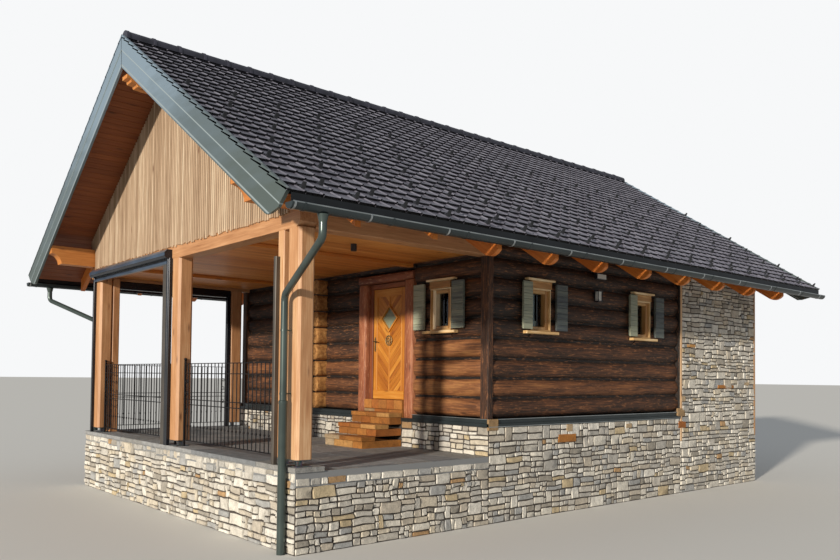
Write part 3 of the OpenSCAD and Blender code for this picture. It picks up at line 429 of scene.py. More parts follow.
# Single ochre stones that catch the eye in the side walls: Y from and to, Z from and to.
ochre_places = ((-2.40, -2.20, 1.39, 1.56), (-0.77, -0.33, 1.14, 1.27), (-0.56, -0.42, 1.31, 1.43),
                (1.10, 1.27, 1.31, 1.39), (2.80, 3.03, 1.47, 1.63), (2.83, 3.07, 1.25, 1.38),
                (4.32, 4.95, 2.01, 2.08), (5.22, 5.62, 2.07, 2.14), (2.93, 3.06, 1.76, 1.86),
                (3.13, 3.43, 2.82, 2.88))
single = [blocks((side * (stone_x - 0.02), y0, z0), (side * (stone_x + 0.02), y1, z1), 0.009, along=1)
          for side in (-1, 1) for y0, y1, z0, z1 in ochre_places]
piece("ochre_facing_stones", single, "house", ochre_stone)


# Log walls. Hewn logs, dark brown from age, lie in courses on a thick sill log. Their
# edges are well rounded, the faces still wavy from the axe, and the gaps are deep.
def timber(name, stops, knot, knots=0.5, across=26.0, coarse=0.5, rough=0.62, relief=0.004, worn=None):
    """Wood from its grain coordinates: streaks drawn out along the bar, a broad cloud and
    the bar's own tone choose the colour; knots lie at scattered points. Real streaks are
    1 to 4 mm wide, and here about 15 mm, so that they show."""
    material, tree, out = bare(name)
    grain = add(tree, "Attribute", {"attribute_name": "grain"}).outputs["Vector"]
    tone = add(tree, "Attribute", {"attribute_name": "tone"}).outputs["Fac"]

    def drawn_out(x, y):
        return add(tree, "VectorMath", {"operation": "MULTIPLY"}, _0=grain, _1=(x, y, y))

    streak = add(tree, "TexNoise", Vector=drawn_out(1.4, across), Scale=1.6, Detail=5.0, Roughness=0.62,
                 Distortion=0.4)
    cloud = add(tree, "TexNoise", Vector=drawn_out(0.7, 3.5), Scale=1.5, Detail=2.0)
    total = -0.33
    for value, share in ((streak, 1.0 - coarse * 0.5), (cloud, coarse), (tone, 0.42)):
        total = add(tree, "Math", {"operation": "MULTIPLY_ADD"}, _0=value, _1=share, _2=total)
    colour = add(tree, "ValToRGB", {"stops": stops}, Fac=total)
    spots = add(tree, "TexVoronoi", Vector=drawn_out(1.5, 5.5), Scale=1.0).outputs["Distance"]
    core = [(0.045, knots), (0.10, knots * 0.35), (0.16, 0.0)]
    core = add(tree, "ValToRGB", {"stops": core}, Fac=spots)
    colour = add(tree, "Mix", {"data_type": "RGBA"}, _0=core, _6=colour, _7=linear(knot)).outputs[2]
    if worn:
        patch = add(tree, "TexNoise", Vector=drawn_out(5.0, 34.0), Scale=1.3, Detail=4.0, Roughness=0.7)
        mask = [(worn[1], 0.0), (worn[1] + 0.09, worn[2])]
        mask = add(tree, "ValToRGB", {"stops": mask}, Fac=patch)
        colour = add(tree, "Mix", {"data_type": "RGBA"}, _0=mask, _6=colour, _7=linear(worn[0])).outputs[2]
    bump = add(tree, "Bump", Strength=0.6, Distance=relief, Height=streak)
    shade = add(tree, "BsdfPrincipled", Base_Color=colour, Roughness=rough, Normal=bump)
    tree.links.new(shade.outputs[0], out)
    return material


def carried(profile, path, across, tone=0.5, ring=False):
    """A profile of points (a, b) carried along a path: each point is the path's, plus a
    times across, plus b times up, where up is the path's direction crossed with across.
    The profile runs anticlockwise and may change along the path. Grain runs with it."""
    path = np.asarray(path, float)
    m = len(path)
    ahead = np.roll(path, -1, 0) - np.roll(path, 1, 0) if ring else np.gradient(path, axis=0)
    ahead /= np.linalg.norm(ahead, axis=1, keepdims=True)
    across = np.broadcast_to(np.asarray(across, float), (m, 3))
    across = across - (across * ahead).sum(1, keepdims=True) * ahead
    across = across / np.linalg.norm(across, axis=1, keepdims=True)
    up = np.cross(ahead, across)
    profile = np.asarray(profile, float)
    n = profile.shape[-2]
    profile = np.broadcast_to(profile, (m, n, 2))
    points = path[:, None] + profile[..., :1] * across[:, None] + profile[..., 1:] * up[:, None]
    i, j = np.arange(m if ring else m - 1)[:, None], np.arange(n)
    k, after = (j + 1) % n, (i + 1) % m
    faces = [np.stack([i * n + j, i * n + k, after * n + k, after * n + j], -1).reshape(-1, 4)]
    if not ring:
        faces += [j[::-1][None], ((m - 1) * n + j)[None]]
    run = np.cumsum(np.append(0, np.linalg.norm(np.diff(path, axis=0), axis=1)))
    grain = spread(run[:, None], profile[..., 0], profile[..., 1]) + chance.uniform(0, 60)
    return points.reshape(-1, 3), faces, grain.reshape(-1, 3), np.full(m * n, float(tone))


def log(start, end, across, width, height, squareness=2.05, step=0.16, rough_by=0.009, painted_sun=0.0):
    """A hewn log from start to end. Its section is a superellipse: half the width times
    cos t to the power 2 / squareness, and the height likewise with sin t. The section
    shrinks and swells slowly along the log by a few sines, and its ends are eased. A log
    whose middle lies below 2.85 m gets a paler tone as painted sunlight, a higher one a darker
    tone as painted shade of the eaves, and painted_sun adds more painted sunlight. Where
    squareness is under 3 the tone falls with the sixth power of sin t, as dust and painted
    shade darken a log next to its joints."""
    start, end = np.asarray(start, float), np.asarray(end, float)
    length = np.linalg.norm(end - start)
    t = np.linspace(0, 1, max(5, int(length / step) + 3))
    ease = min(0.2, 0.012 / length)
    t = np.sort(np.concatenate([t, [ease, 1 - ease]]))
    path = start + (end - start) * t[:, None]
    around = np.linspace(0, 2 * np.pi, 20, endpoint=False) + 0.02
    c, s = np.cos(around), np.sin(around)
    a = width / 2 * np.sign(c) * np.abs(c) ** (2 / squareness)
    b = height / 2 * np.sign(s) * np.abs(s) ** (2 / squareness)
    phase = chance.uniform(0, 6.3, (3, len(around)))
    wave = sum(np.sin(t[:, None] * length * f + phase[k]) for k, f in enumerate((1.3, 3.1, 7.7))) / 3
    shrink = 1 - rough_by * (1 + wave) / np.hypot(a, b)
    shrink = shrink * np.where((t == 0) | (t == 1), 0.95, 1.0)[:, None]
    # Painted light: paler below 2.85 m as sunlit, darker above as in the eaves' shade.
    painted_light_by_height = 0.45 + painted_sun if path[:, 2].mean() < 2.85 else 0.12 + painted_sun / 2
    points, faces, grain, tone = carried(spread(a * shrink, b * shrink), path, across,
                                         painted_light_by_height + 0.32 * chance.random())
    if squareness < 3:
        # Dust and painted shade darken the tone towards the joints.
        tone = tone + 0.12 - 0.75 * np.tile(np.abs(s) ** 6, len(t))
    return points, faces, grain, tone


# Old spruce: brown on the faces with worn orange flecks; its nearly black stops serve the joints, where
# painted shade lowers the tone.
old_spruce = timber("hewn_spruce_aged", [
    (0.2, "130b07"), (0.43, "2b1a10"), (0.56, "4c2e1b"), (0.72, "774a2a"), (0.92, "a06f40")],
    knot="100906", knots=0.6, across=30.0, coarse=0.42, rough=0.66, relief=0.016,
    worn=("b4784a", 0.56, 0.45))
courses = np.array([1.56, 1.875, 2.175, 2.48, 2.80, 3.115, 3.43, 3.745, 4.045, 4.262])
overlap, log_t, stub_t = 0.009, 0.22, 0.21
side_windows, front_window = (-1.175, 1.685), 2.74
window_w, window_low, window_high = 0.49, 2.94, 3.62
half = window_w / 2
log_front, log_rear = -2.262, rear_y - 0.003
log_left, post_left, post_right, log_right = -3.678, 0.518, 2.072, 3.678


def wall_spans(low, high, start, end, windows):
    """The lengths of a course between the windows that it meets."""
    cuts = [start]
    for middle in windows:
        if low < window_high and high > window_low:
            cuts += [middle - half, middle + half]
    cuts.append(end)
    return list(zip(cuts[::2], cuts[1::2]))


def stubs(low, high):
    """The part of a course that runs on under or over the windows."""
    return [(a, b) for a, b in ((low, window_low), (window_high, high)) if low <= a < b <= high]


side_logs = []
for side in (-1, 1):
    x = side * (half_w - log_t / 2)
    for low, high in zip(courses[:-1], courses[1:]):
        z = (low + high) / 2
        for y0, y1 in wall_spans(low, high, log_front, log_rear, side_windows):
            side_logs.append(log((x, y0, z), (x, y1, z), (1, 0, 0), log_t, high - low + overlap))
        for y in side_windows:
            for z0, z1 in stubs(low, high):
                z, h = (z0 + z1) / 2, z1 - z0 + overlap
                side_logs.append(log((x, y - half, z), (x, y + half, z), (1, 0, 0), stub_t, h))
piece("side_logs", side_logs, "house", old_spruce, ["log_side_walls"], smooth=50)

left_logs, right_logs = [], []
y = cabin_y + log_t / 2
for low, high in zip(courses[:-1], courses[1:]):
    z, h = (low + high) / 2, high - low + overlap
    left_logs.append(log((log_left, y, z), (post_left, y, z), (0, -1, 0), log_t, h))
    for x0, x1 in wall_spans(low, high, post_right, log_right, (front_window,)):
        # The logs right of the door are painted paler as sunlit.
        right_logs.append(log((x0, y, z), (x1, y, z), (0, -1, 0), log_t, h, painted_sun=0.4))
    for z0, z1 in stubs(low, high):
        z, h = (z0 + z1) / 2, z1 - z0 + overlap
        right_logs.append(log((front_window - half, y, z), (front_window + half, y, z), (0, -1, 0), stub_t, h))
head_left, head_right, top_z, top_h = 0.522, 2.068, 4.127, 0.265
top_logs = [log((head_left, y, top_z), (head_right, y, top_z), (0, -1, 0), log_t, top_h)]
for name, logs, node in (("left", left_logs, "front_left"), ("right", right_logs, "front_right"),
                         ("over_door", top_logs, "over_door")):
    piece("front_logs_" + name, logs, "house", old_spruce, ["log_wall_" + node], smooth=50)
# Dark packing lies deep in the joints between the courses; its tone of -0.4 paints it near black as the
# joints' shade.
chinks = []
shade_packing, packing_half, packing_x = {"edge": 0.003, "tone": -0.4}, 0.022, 3.70
for z in courses[1:-1]:
    z0, z1 = z - packing_half, z + packing_half
    for side in (-1, 1):
        for y0, y1 in wall_spans(z, z, log_front, log_rear, side_windows):
            chinks.append(blocks((side * packing_x, y0, z0), (side * 3.785, y1, z1), along=1, **shade_packing))
    for x0, x1 in [(log_left, post_left)] + wall_spans(z, z, post_right, log_right, (front_window,)):
        chinks.append(blocks((x0, -2.29, z0), (x1, -2.20, z1), **shade_packing))
# A strip painted near black at each wall's rear end stands for the shade in the gap by the stone wall.
for side in (-1, 1):
    chinks.append(blocks((side * packing_x, rear_y - 0.014, courses[0]), (side * 3.858, rear_y - 0.002, 4.20),
                         0.002, tone=-0.4, along=2))
piece("log_joint_packing_painted_shade", chinks, "house", old_spruce)


# Cross wall ends. The logs of an inner wall run out through the front wall, and their
# sawn ends stand in a stack left of the door, ochre with drying cracks.
end_grain = mottled("sawn_end_grain", 16.0, [
    (0.25, "5d3a1e"), (0.45, "9a6a38"), (0.62, "bd8a4f"), (0.8, "d6ab72")],
    0.0, 0.8, 5.0, (0.5, 0.006), broken=0.65, grained=True)
log_ends = []
cross_x = -0.64
for low, high in zip(courses[:-2], courses[1:-1]):
    reach = chance.uniform(0.17, 0.2)
    z = (low + high) / 2
    log_ends.append(log((cross_x, cabin_y + 0.1, z), (cross_x, cabin_y - reach, z), (-1, 0, 0), log_t,
                        high - low - 0.008, 2.6, 0.1, 0.004))
piece("cross_wall_log_ends", log_ends, "house", end_grain, ["cross_wall_ends"], smooth=40)


# Corner timbers and edge strips. A dark upright timber closes each front corner of the
# log walls, and pale strips edge the stone cladding of the rear room.
plate_z, log_top_z = 4.029, 4.264
corner_y0, corner_y1 = -2.38, -2.265
corner = [blocks((side * 3.68, corner_y0, 1.562), (side * half_w, corner_y1, plate_z), 0.012, tone=0.5,
                 along=2) for side in (-1, 1)]
piece("corner_timbers", corner, "house", old_spruce, ["corner_boards"])
# Oiled larch: a pale honey line beside the grey stones.
pale_larch = timber("larch_pale_oiled", [
    (0.0, "8a6039"), (0.3, "b1845a"), (0.6, "cda57b"), (0.9, "e2c3a0")],
    knot="6b3f1f", knots=0.7, coarse=0.5, rough=0.55)
strips = []
for side in (-1, 1):
    for y in (rear_y, back_y - strip):
        strips.append(blocks((side * stone_x, y, floor_z), (side * (stone_x + 0.012), y + strip, log_top_z),
                             0.003, along=2))
piece("stone_edge_boards", strips, "house", pale_larch, ["stone_edge_strips"])


# Plinth flashing. A folded strip of coated sheet lies under the sill log and turns down
# over the stones; its upper fold stands against the log, and its lips are painted pale as highlights.
coated_sheet = mottled("coated_steel_sheet", 1.3, [(0.3, "2b3234"), (0.7, "394245")], 0.35, 0.3,
                       dents=(0.15, 0.02))
finish("gutters plinth_flashing", coated_sheet)
# A dull light grey zinc, used to paint highlights on the flashing's lips and the gutters' beads.
highlight_sheet = mottled("zinc_sheet_painted_highlight", 3.0, [(0.3, "7f8689"), (0.7, "a2a9ab")], 0.5, 0.4, 3.0)
lip_highlights = []
posts_left, posts_right = 0.515, 2.075
for side in (-1, 1):
    # The upper lip under the sill log, then the lower one over the stones.
    for x0, x1, y, z0, z1 in ((3.86, 3.8815, log_front, 1.548, 1.560),
                              (3.895, 3.9015, -2.40, 1.438, 1.449)):
        lip_highlights.append(blocks((side * x0, y, z0), (side * x1, log_rear, z1), 0.001, along=1))
lip_highlights.append(blocks((posts_right, -2.3755, 1.551), (3.86, cabin_y, 1.558), 0.001))
piece("flashing_lip_highlights", lip_highlights, "house", highlight_sheet)
folds = []
# The upright layer and the level one: outermost x, foremost y, lower and upper edge.
layers = ((3.866, -2.36, 1.491, 1.549), (3.878, -2.372, 1.549, 1.556))
for x, _, z0, z1 in layers:
    for side in (1, -1):
        folds.append(blocks((side * 3.64, log_front, z0), (side * x, log_rear, z1), 0.001, along=1))
for side, inner in ((1, posts_right), (-1, posts_left)):
    for x, y, z0, z1 in layers:
        folds.append(blocks((inner, y, z0), (side * x, -2.15, z1), 0.001))
piece("sill_flashing_fold", folds, "house", coated_sheet)


# Door. A board door in a hewn frame between heavy posts: boards in a chevron pattern, a
# kick board, a square pane on its corner with a moulding, a bronze ornament and a lever.
hewn_larch = timber("hewn_larch_reddish", [
    (0.0, "3a1a0f"), (0.3, "66341f"), (0.6, "97593a"), (0.9, "c98f68")],
    knot="2d160b", knots=0.6, coarse=0.7, rough=0.6, relief=0.012, worn=("d9a680", 0.56, 0.5))
leaf_left, leaf_right, leaf_z, leaf_top, leaf_y = 0.856, 1.734, 1.786, 3.736, -2.255
post_w, post_foot, post_head, lintel_z, lintel_h = 0.236, 1.492, 3.83, 3.912, 0.156
posts = [log((x, leaf_y, post_foot), (x, leaf_y, post_head), (-1, 0, 0), post_w, post_w, 5.0, 0.2, 0.004)
         for x in (0.64, 1.95)]
posts.append(log((head_left, leaf_y, lintel_z), (head_right, leaf_y, lintel_z), (0, -1, 0), post_w, lintel_h,
                 4.5, 0.2, 0.004))
piece("door_posts_hewn", posts, "house", hewn_larch, ["door_posts"], smooth=50)
# Stained larch: a dark red-brown line round the leaf.
red_larch = timber("larch_red_stained", [
    (0.0, "3b1b0d"), (0.35, "5f2f18"), (0.65, "824525"), (0.95, "a46238")],
    knot="2a1309", knots=0.5, rough=0.5)
frame_y0, frame_y1 = -2.275, -2.196
jamb_left, jamb_right, jamb_w, jamb_foot = 0.762, 1.742, 0.086, 1.782
frame_parts = [blocks((x, frame_y0, jamb_foot), (x + jamb_w, frame_y1, post_head), 0.008, along=2)
               for x in (jamb_left, jamb_right)]
frame_parts.append(blocks((jamb_left + jamb_w + 0.002, frame_y0, post_head - jamb_w),
                          (jamb_right - 0.002, frame_y1, post_head), 0.008))
piece("door_frame_boards", frame_parts, "house", red_larch, ["door_frame"])


def cut_out(outline, thick, along=(0, 0, 1), tone=0.5):
    """A board cut to an outline: its corners, and the same corners moved by the thickness,
    with one four-sided face for each edge and both outlines as end faces."""
    outline, thick = np.asarray(outline, float), np.asarray(thick, float)
    around = np.cross(outline - outline[0], np.roll(outline, -1, 0) - outline[0]).sum(0)
    if around @ thick > 0:
        outline = outline[::-1]
    n = len(outline)
    j = np.arange(n)
    k = (j + 1) % n
    points = np.concatenate([outline, outline + thick])
    faces = [j[None], n + j[::-1][None], np.stack([j, n + j, n + k, k], 1)]
    through = thick / np.linalg.norm(thick)
    along = np.asarray(along, float)
    along = along / np.linalg.norm(along)
    basis = np.stack([along, np.cross(through, along), through], 1)
    return points, faces, points @ basis + chance.uniform(0, 70), np.full(2 * n, float(tone))


# Glazed spruce: golden boards with darker seams.
honey_spruce = timber("spruce_honey_glazed", [
    (0.0, "743c0e"), (0.3, "a05c18"), (0.6, "c07b28"), (0.9, "d89f4a")],
    knot="5a2809", knots=0.7, coarse=0.5, rough=0.42, relief=0.002)
middle_x = (leaf_left + leaf_right) / 2
pane_z, pane_half = 3.2095, 0.2121
field_left, field_right, field_low, field_top = 0.945, 1.645, 1.94, 3.60
inner_y, kick_t, kick_h = leaf_y + 0.06, 0.01, 0.15
leaf = [blocks((leaf_left, leaf_y, leaf_z), (field_left, inner_y, leaf_top), 0.004, along=2),
        blocks((field_right, leaf_y, leaf_z), (leaf_right, inner_y, leaf_top), 0.004, along=2),
        blocks((field_left, leaf_y, field_top), (field_right, inner_y, leaf_top), 0.004),
        blocks((field_left, leaf_y, leaf_z), (field_right, inner_y, field_low), 0.004),
        blocks((leaf_left + kick_t, leaf_y - kick_t, leaf_z + kick_t),
               (leaf_right - kick_t, leaf_y, leaf_z + kick_h), 0.003)]


def clipped(outline, point, normal):
    """The part of a convex outline on the side of a line that its normal points to."""
    made = []
    for p, q in zip(outline, np.roll(outline, -1, 0)):
        a, b = (p - point) @ normal, (q - point) @ normal
        if a >= 0:
            made.append(p)
        if a * b < 0:
            made.append(p + (q - p) * a / (a - b))
    return np.array(made)


board, seam = 0.078 * math.sqrt(2), 0.0025
pane_clear = pane_half + 0.012
centre = np.array([middle_x, pane_z])
for side, x_out in ((-1, field_left), (1, field_right)):
    rise_by = abs(x_out - middle_x)
    base = field_low - 1.0
    while base < field_top:
        low, high = base + seam, base + board - seam
        rest = np.array([[middle_x, low], [x_out, low + rise_by],
                         [x_out, high + rise_by], [middle_x, high]])
        for edge, way in ((field_low, 1.0), (field_top, -1.0)):
            if len(rest) > 2:
                rest = clipped(rest, np.array([0, edge]), np.array([0, way]))
        if len(rest) > 2:
            # The pane's square is left out; the rest is cut into the parts beside its edges.
            outside = []
            for normal in ((side, 1), (side, -1), (-side, 1), (-side, -1)):
                normal = np.array(normal) / math.sqrt(2)
                edge_point = centre + normal * pane_clear / math.sqrt(2)
                if len(rest) > 2:
                    outside.append(clipped(rest, edge_point, normal))
                    rest = clipped(rest, edge_point, -normal)
            tone = chance.random()
            for part in outside:
                if len(part) > 2:
                    turn = np.cross(part - part[0], np.roll(part, -1, 0) - part[0]).sum()
                    if abs(turn) / 2 > 2e-5:
                        leaf.append(cut_out(spread(part[:, 0], leaf_y + 0.012, part[:, 1]), (0, 0.04, 0),
                                            (side, 0, 1), tone))
        base += board
# Narrow strips cover the boards' ends: two beside the field and two on its middle line.
strip_w = 0.016
for x0, x1 in ((field_left - 0.001, field_left + strip_w), (field_right - strip_w, field_right + 0.001)):
    leaf.append(blocks((x0, leaf_y - 0.004, field_low), (x1, leaf_y + 0.02, field_top), 0.006, tone=0.9,
                       along=2))
moulding, middle_half = pane_half + 0.035, 0.015
for z0, z1 in ((field_low, pane_z - moulding), (pane_z + moulding, field_top)):
    leaf.append(blocks((middle_x - middle_half, leaf_y + 0.002, z0),
                       (middle_x + middle_half, leaf_y + 0.03, z1), 0.005, tone=0.85, along=2))
inner, outer = pane_half - 0.004, pane_half + 0.036
for k in range(4):
    (c, s), (c2, s2) = ((math.cos(a), math.sin(a)) for a in (math.pi / 2 * k, math.pi / 2 * (k + 1)))
    outline = [(middle_x + r * a, leaf_y - 0.012, pane_z + r * b) for r, a, b in
               ((inner, c, s), (outer, c, s), (outer, c2, s2), (inner, c2, s2))]
    leaf.append(cut_out(outline, (0, 0.05, 0), (c2 - c, 0, s2 - s), 0.75))
piece("door_leaf_boards", leaf, "door", honey_spruce, ["door_leaf"])

# Clear float glass: dark, with a mirror gleam that grows at a flat angle.
clear_glass, tree, out = bare("float_glass")
thin = add(tree, "BsdfTransparent", Color=linear("c3cfca"))
gloss = add(tree, "BsdfGlossy", Color=linear("ffffff"), Roughness=0.03)
both = add(tree, "MixShader", _0=add(tree, "Fresnel", IOR=1.5), _1=thin, _2=gloss)
tree.links.new(both.outputs[0], out)
finish("window_glass", clear_glass)
# Rippled greenish glass, which takes in the light of the terrace and hides the room.
cathedral_glass = mottled("cathedral_glass_greenish", 40.0, "9da58c", 0.0, 0.2, dents=(0.3, 0.002),
                          clear=0.35)
finish("door_glass", cathedral_glass)
# Forged iron: black, with a hammered gleam.
black_iron, tree, out = bare("forged_iron_black")
spot = add(tree, "TexCoord").outputs["Object"]
hammered = add(tree, "TexVoronoi", Vector=spot, Scale=70.0).outputs["Distance"]
bump = add(tree, "Bump", Strength=0.25, Distance=0.003, Height=hammered)
shade = add(tree, "BsdfPrincipled", Base_Color=linear("16161a"), Metallic=0.6, Roughness=0.42, Normal=bump)
tree.links.new(shade.outputs[0], out)
finish("door_hinges hinge_barrels", black_iron)


def circle(sides):
    """Points of a unit circle, anticlockwise in even turns."""
    t = np.linspace(0, 2 * np.pi, sides, endpoint=False)
    return np.stack([np.cos(t), np.sin(t)], 1)


def round_bar(path, radius, across=(0, 1, 0), sides=8, ring=False):
    """A round bar along a path."""
    return carried(radius * circle(sides), path, across, ring=ring)


def spiral(centre, start, turns, r0, r1):
    """A scroll in an XZ plane: its radius goes evenly from r0 to r1 while it turns."""
    t = np.linspace(0, 1, 28)
    a = start + 2 * np.pi * turns * t
    r = r0 + (r1 - r0) * t
    return np.asarray(centre, float) + spread(r * np.cos(a), 0, r * np.sin(a))


hub, wheel_r, scroll_r = np.array([middle_x, leaf_y - 0.006, 2.82]), 0.088, 0.042
wheel = circle(36)
ornament = [round_bar(hub + wheel_r * spread(wheel[:, 0], 0, wheel[:, 1]), 0.007, ring=True)]
for k in range(4):
    a = math.pi / 2 * k
    eye = hub + scroll_r * np.array([math.cos(a), 0, math.sin(a)])
    ornament.append(round_bar(spiral(eye, a + math.pi, 1.2, scroll_r, 0.010), 0.005))
# Cast bronze: worn to a pale gold on the raised parts.
bronze = mottled("cast_bronze_worn", 70.0, [(0.35, "7d6640"), (0.65, "c9ae7a")], 0.7, 0.5, 3.0)
piece("door_ornament", ornament, "door", bronze, smooth=60)

# Aged brass: a soft yellow-grey shine.
aged_brass = mottled("aged_brass", 60.0, [(0.3, "8a7346"), (0.7, "c9b78c")], 1.0, 0.34, 3.0)
plate_x, handle_z, plate_half, plate_arch = leaf_left + 0.05, leaf_z + 1.02, 0.021, 0.03
t = np.linspace(0, np.pi, 9)
upper = spread(plate_x + plate_half * np.cos(t), leaf_y, handle_z + 0.05 + plate_arch * np.sin(t))
lower = spread(plate_x - plate_half * np.cos(t), leaf_y, handle_z - 0.15 - plate_arch * np.sin(t))
# The lever comes out of the plate, bends to the right and dips at its end.
bend = np.array([[0, 0, 0], [0, -0.042, 0], [0.003, -0.053, 0], [0.013, -0.06, 0.001], [0.04, -0.06, 0.002],
                 [0.075, -0.059, 0.004], [0.1, -0.056, 0.002], [0.118, -0.052, -0.003]])
fittings = [cut_out(np.concatenate([upper, lower]), (0, -0.006, 0)),
            round_bar(np.array([plate_x, leaf_y - 0.002, handle_z]) + bend, 0.009, (0, 0, 1), 10)]
for z, out_by, radius, sides in ((handle_z, 0.011, 0.017, 16), (handle_z - 0.13, 0.009, 0.012, 14)):
    rose = [(plate_x, leaf_y - 0.004, z), (plate_x, leaf_y - out_by, z)]
    fittings.append(round_bar(rose, radius, (1, 0, 0), sides))
piece("door_lever", fittings, "door", aged_brass, ["door_fittings"], smooth=40)


# Windows. Small casements of pale varnished spruce sit deep in lined openings, one
# sash each, with short net curtains inside and boards over and under them.
def placed(parts, origin, u, inward):
    """Turns parts from a front wall's frame, across, inward and up, to a wall's own."""
    basis = np.stack([np.asarray(u, float), np.asarray(inward, float), (0, 0, 1.0)])
    return [(p[0] @ basis + np.asarray(origin, float), p[1], p[2], p[3]) for p in parts]


openings = [((front_window, cabin_y, window_low), (1, 0, 0), (0, 1, 0))]
for y in side_windows:
    openings += [((side * half_w, y, window_low), (0, side, 0), (-side, 0, 0)) for side in (1, -1)]
# Varnished spruce: the tone paints the light, cream for sunlit parts and honey brown for painted shade.
varnished = timber("spruce_pale_varnish", [
    (0.0, "7d4f28"), (0.3, "a87a45"), (0.55, "d3ae78"), (0.72, "f4e2bd")],
    knot="7a4c22", knots=0.4, rough=0.4, relief=0.001)
tall, lining, stile = window_high - window_low, 0.02, 0.10
lining_y0, lining_y1, sash_y, sash_z = 0.004, 0.15, 0.04, 0.022
casement = [blocks((-half, lining_y0, z), (half, lining_y1, z + lining), 0.003) for z in (0, tall - lining)]
for x in (-half, half - lining):
    casement.append(blocks((x, lining_y0, lining), (x + lining, lining_y1, tall - lining), 0.003, along=2))
# The stile beside the sunny reveal gets a pale tone as painted sunlight, the other a dark tone as painted
# shade.
for a, b, tone in ((-half + 0.021, -half + stile, 1.2), (half - stile, half - 0.021, 0.1)):
    casement.append(blocks((a, sash_y, sash_z), (b, 0.148, tall - sash_z), 0.006, tone=tone, along=2))
for a, b in ((sash_z, 0.07), (tall - 0.075, tall - sash_z)):
    casement.append(blocks((-half + stile, sash_y + 0.002, a), (half - stile, 0.147, b), 0.006, tone=0.3))
parts, boards, sills = [], [], []
head_h = 0.112
for place in openings:
    parts += placed(casement, *place)
    near = -1 if place[1][1] > 0 else 1
    # The head board's low tone paints it dark as in shade.
    head = blocks((-half - 0.005, -0.012, tall), (half + 0.005, 0.02, tall + head_h), 0.004, tone=0.05)
    x0, x1 = near * (half + 0.15), -near * (half + 0.01)
    cap = blocks((x0, -0.085, tall + head_h + 0.001), (x1, 0, tall + 0.145), 0.004, tone=0.7)
    boards += placed([head, cap], *place)
    x0, x1 = near * (half + 0.18), -near * (half + 0.10)
    sills += placed([blocks((x0, -0.09, -0.055), (x1, 0.004, -0.01), 0.006)], *place)
piece("window_casements", parts, "house", varnished, ["window_frames"])
piece("window_head_boards", boards, "house", varnished, ["window_heads"])
piece("window_sill_boards", sills, "house", varnished, ["window_sills"])

# Net cloth: a matt white with a fine weave.
net_cloth = mottled("net_curtain_white", 120.0, [(0.35, "c9c9c4"), (0.65, "efefea")], 0.0, 0.9)
curtain_parts = []
hung_y, fold_by, fold_w = 0.175, 0.008, 0.055
u = np.linspace(-half + 0.03, half - 0.03, 61)
line = spread(u, hung_y + fold_by * np.sin((u + half) * 2 * np.pi / fold_w))
outline = np.concatenate([line, line[::-1] + (0, 0.003)])
for place in openings:
    path = [(0, 0, 0.03), (0, 0, 0.17 if place[1][1] else 0.12)]
    curtain_parts += placed([carried(outline, path, (1, 0, 0))], *place)
piece("window_curtains", curtain_parts, "house", net_cloth, smooth=60)


# Shutters. Board shutters on two ledges stand open against the logs, grey-green paint
# worn thin, so that the grain shows through.
green_paint = timber("spruce_grey_green_paint", [
    (0.1, "43494e"), (0.35, "646b66"), (0.6, "929682"), (0.9, "b4b79c")],
    knot="4a4a40", knots=0.2, coarse=0.4, rough=0.6, relief=0.002)


def shutter(x0, lit, wide):
    """A leaf of eight level boards from x0, nailed to two upright ledges at its back. Lit is
    the painted light: the tone round which the tones of its boards lie, high for a leaf painted sunlit and low
    for one painted in shade."""
    made = []
    count, leaf_h, face_y, ledge_y = 8, 0.755, -0.064, -0.036
    board = leaf_h / count
    for k in range(count):
        z0, z1 = 0.016 + k * board, 0.013 + (k + 1) * board
        tone = lit + chance.uniform(-0.08, 0.08)
        made.append(blocks((x0, face_y, z0), (x0 + wide, ledge_y, z1), 0.003, tone=tone))
        for u in (0.04, wide - 0.04):
            z = 0.015 + (k + 0.5) * board
            made.append(round_bar([(x0 + u, -0.062, z), (x0 + u, -0.0655, z)], 0.004, (1, 0, 0)))
    for u in (0.02, wide - 0.06):
        made.append(blocks((x0 + u, ledge_y, 0.03), (x0 + u + 0.04, -0.001, leaf_h), 0.006, tone=lit, along=2))
    return made


# The tones paint the light: at the front both leaves are painted sunlit; at the sides only the leaf nearer the
# terrace, the other painted in shade.
front_pair = ((-half - 0.35, 0.85, 0.26), (half + 0.085, 0.3, 0.27))
right_pair = ((-half - 0.235, 0.75, 0.21), (half + 0.08, -0.1, 0.27))
left_pair = ((-half - 0.35, -0.1, 0.27), (half + 0.025, 0.75, 0.21))
parts = []
for place in openings:
    pair = front_pair if place[1][0] > 0 else right_pair if place[1][1] > 0 else left_pair
    for leaf_row in pair:
        parts += placed(shutter(*leaf_row), *place)
piece("shutter_planks", parts, "house", green_paint, ["shutters"])


# Terrace frame. Planed larch posts with their edges taken off stand on steel feet and
# carry the tie beam, the side plates and the ceiling beams, tenoned and pegged.
ceiling_z = 4.089
gable_y = -5.695
gable_in = gable_y + 0.24
larch = timber("larch_planed_oiled", [(0.0, "75482c"), (0.3, "9d6b43"), (0.6, "bf8d62"), (0.9, "dfba90")],
               knot="5a2f15", knots=0.75, coarse=0.55, rough=0.5, relief=0.003)
post_mid_y, foot_top, pillar_w, pillar_d, chamfer = gable_y + 0.12, 1.15, 0.28, 0.24, 0.036
x = np.array([-3.44, 0.17, 3.71])
post_parts = [timbers(spread(x, post_mid_y, foot_top), spread(x, post_mid_y, plate_z), (-1, 0, 0), pillar_w,
                      pillar_d, chamfer, tone=(0.5, 0.6, 0.85))]
# A slimmer post beside the right one, and the left side's post at the cabin.
for x, y, w, d, edge, tone in ((3.4025, post_mid_y, 0.145, 0.236, 0.012, 0.9),
                               (-3.73, -2.665, pillar_d, pillar_w, chamfer, 0.5)):
    post_parts.append(timbers((x, y, foot_top), (x, y, plate_z), (-1, 0, 0), w, d, edge, tone=tone))
piece("terrace_post_timbers", post_parts, "house", larch, ["terrace_posts"])
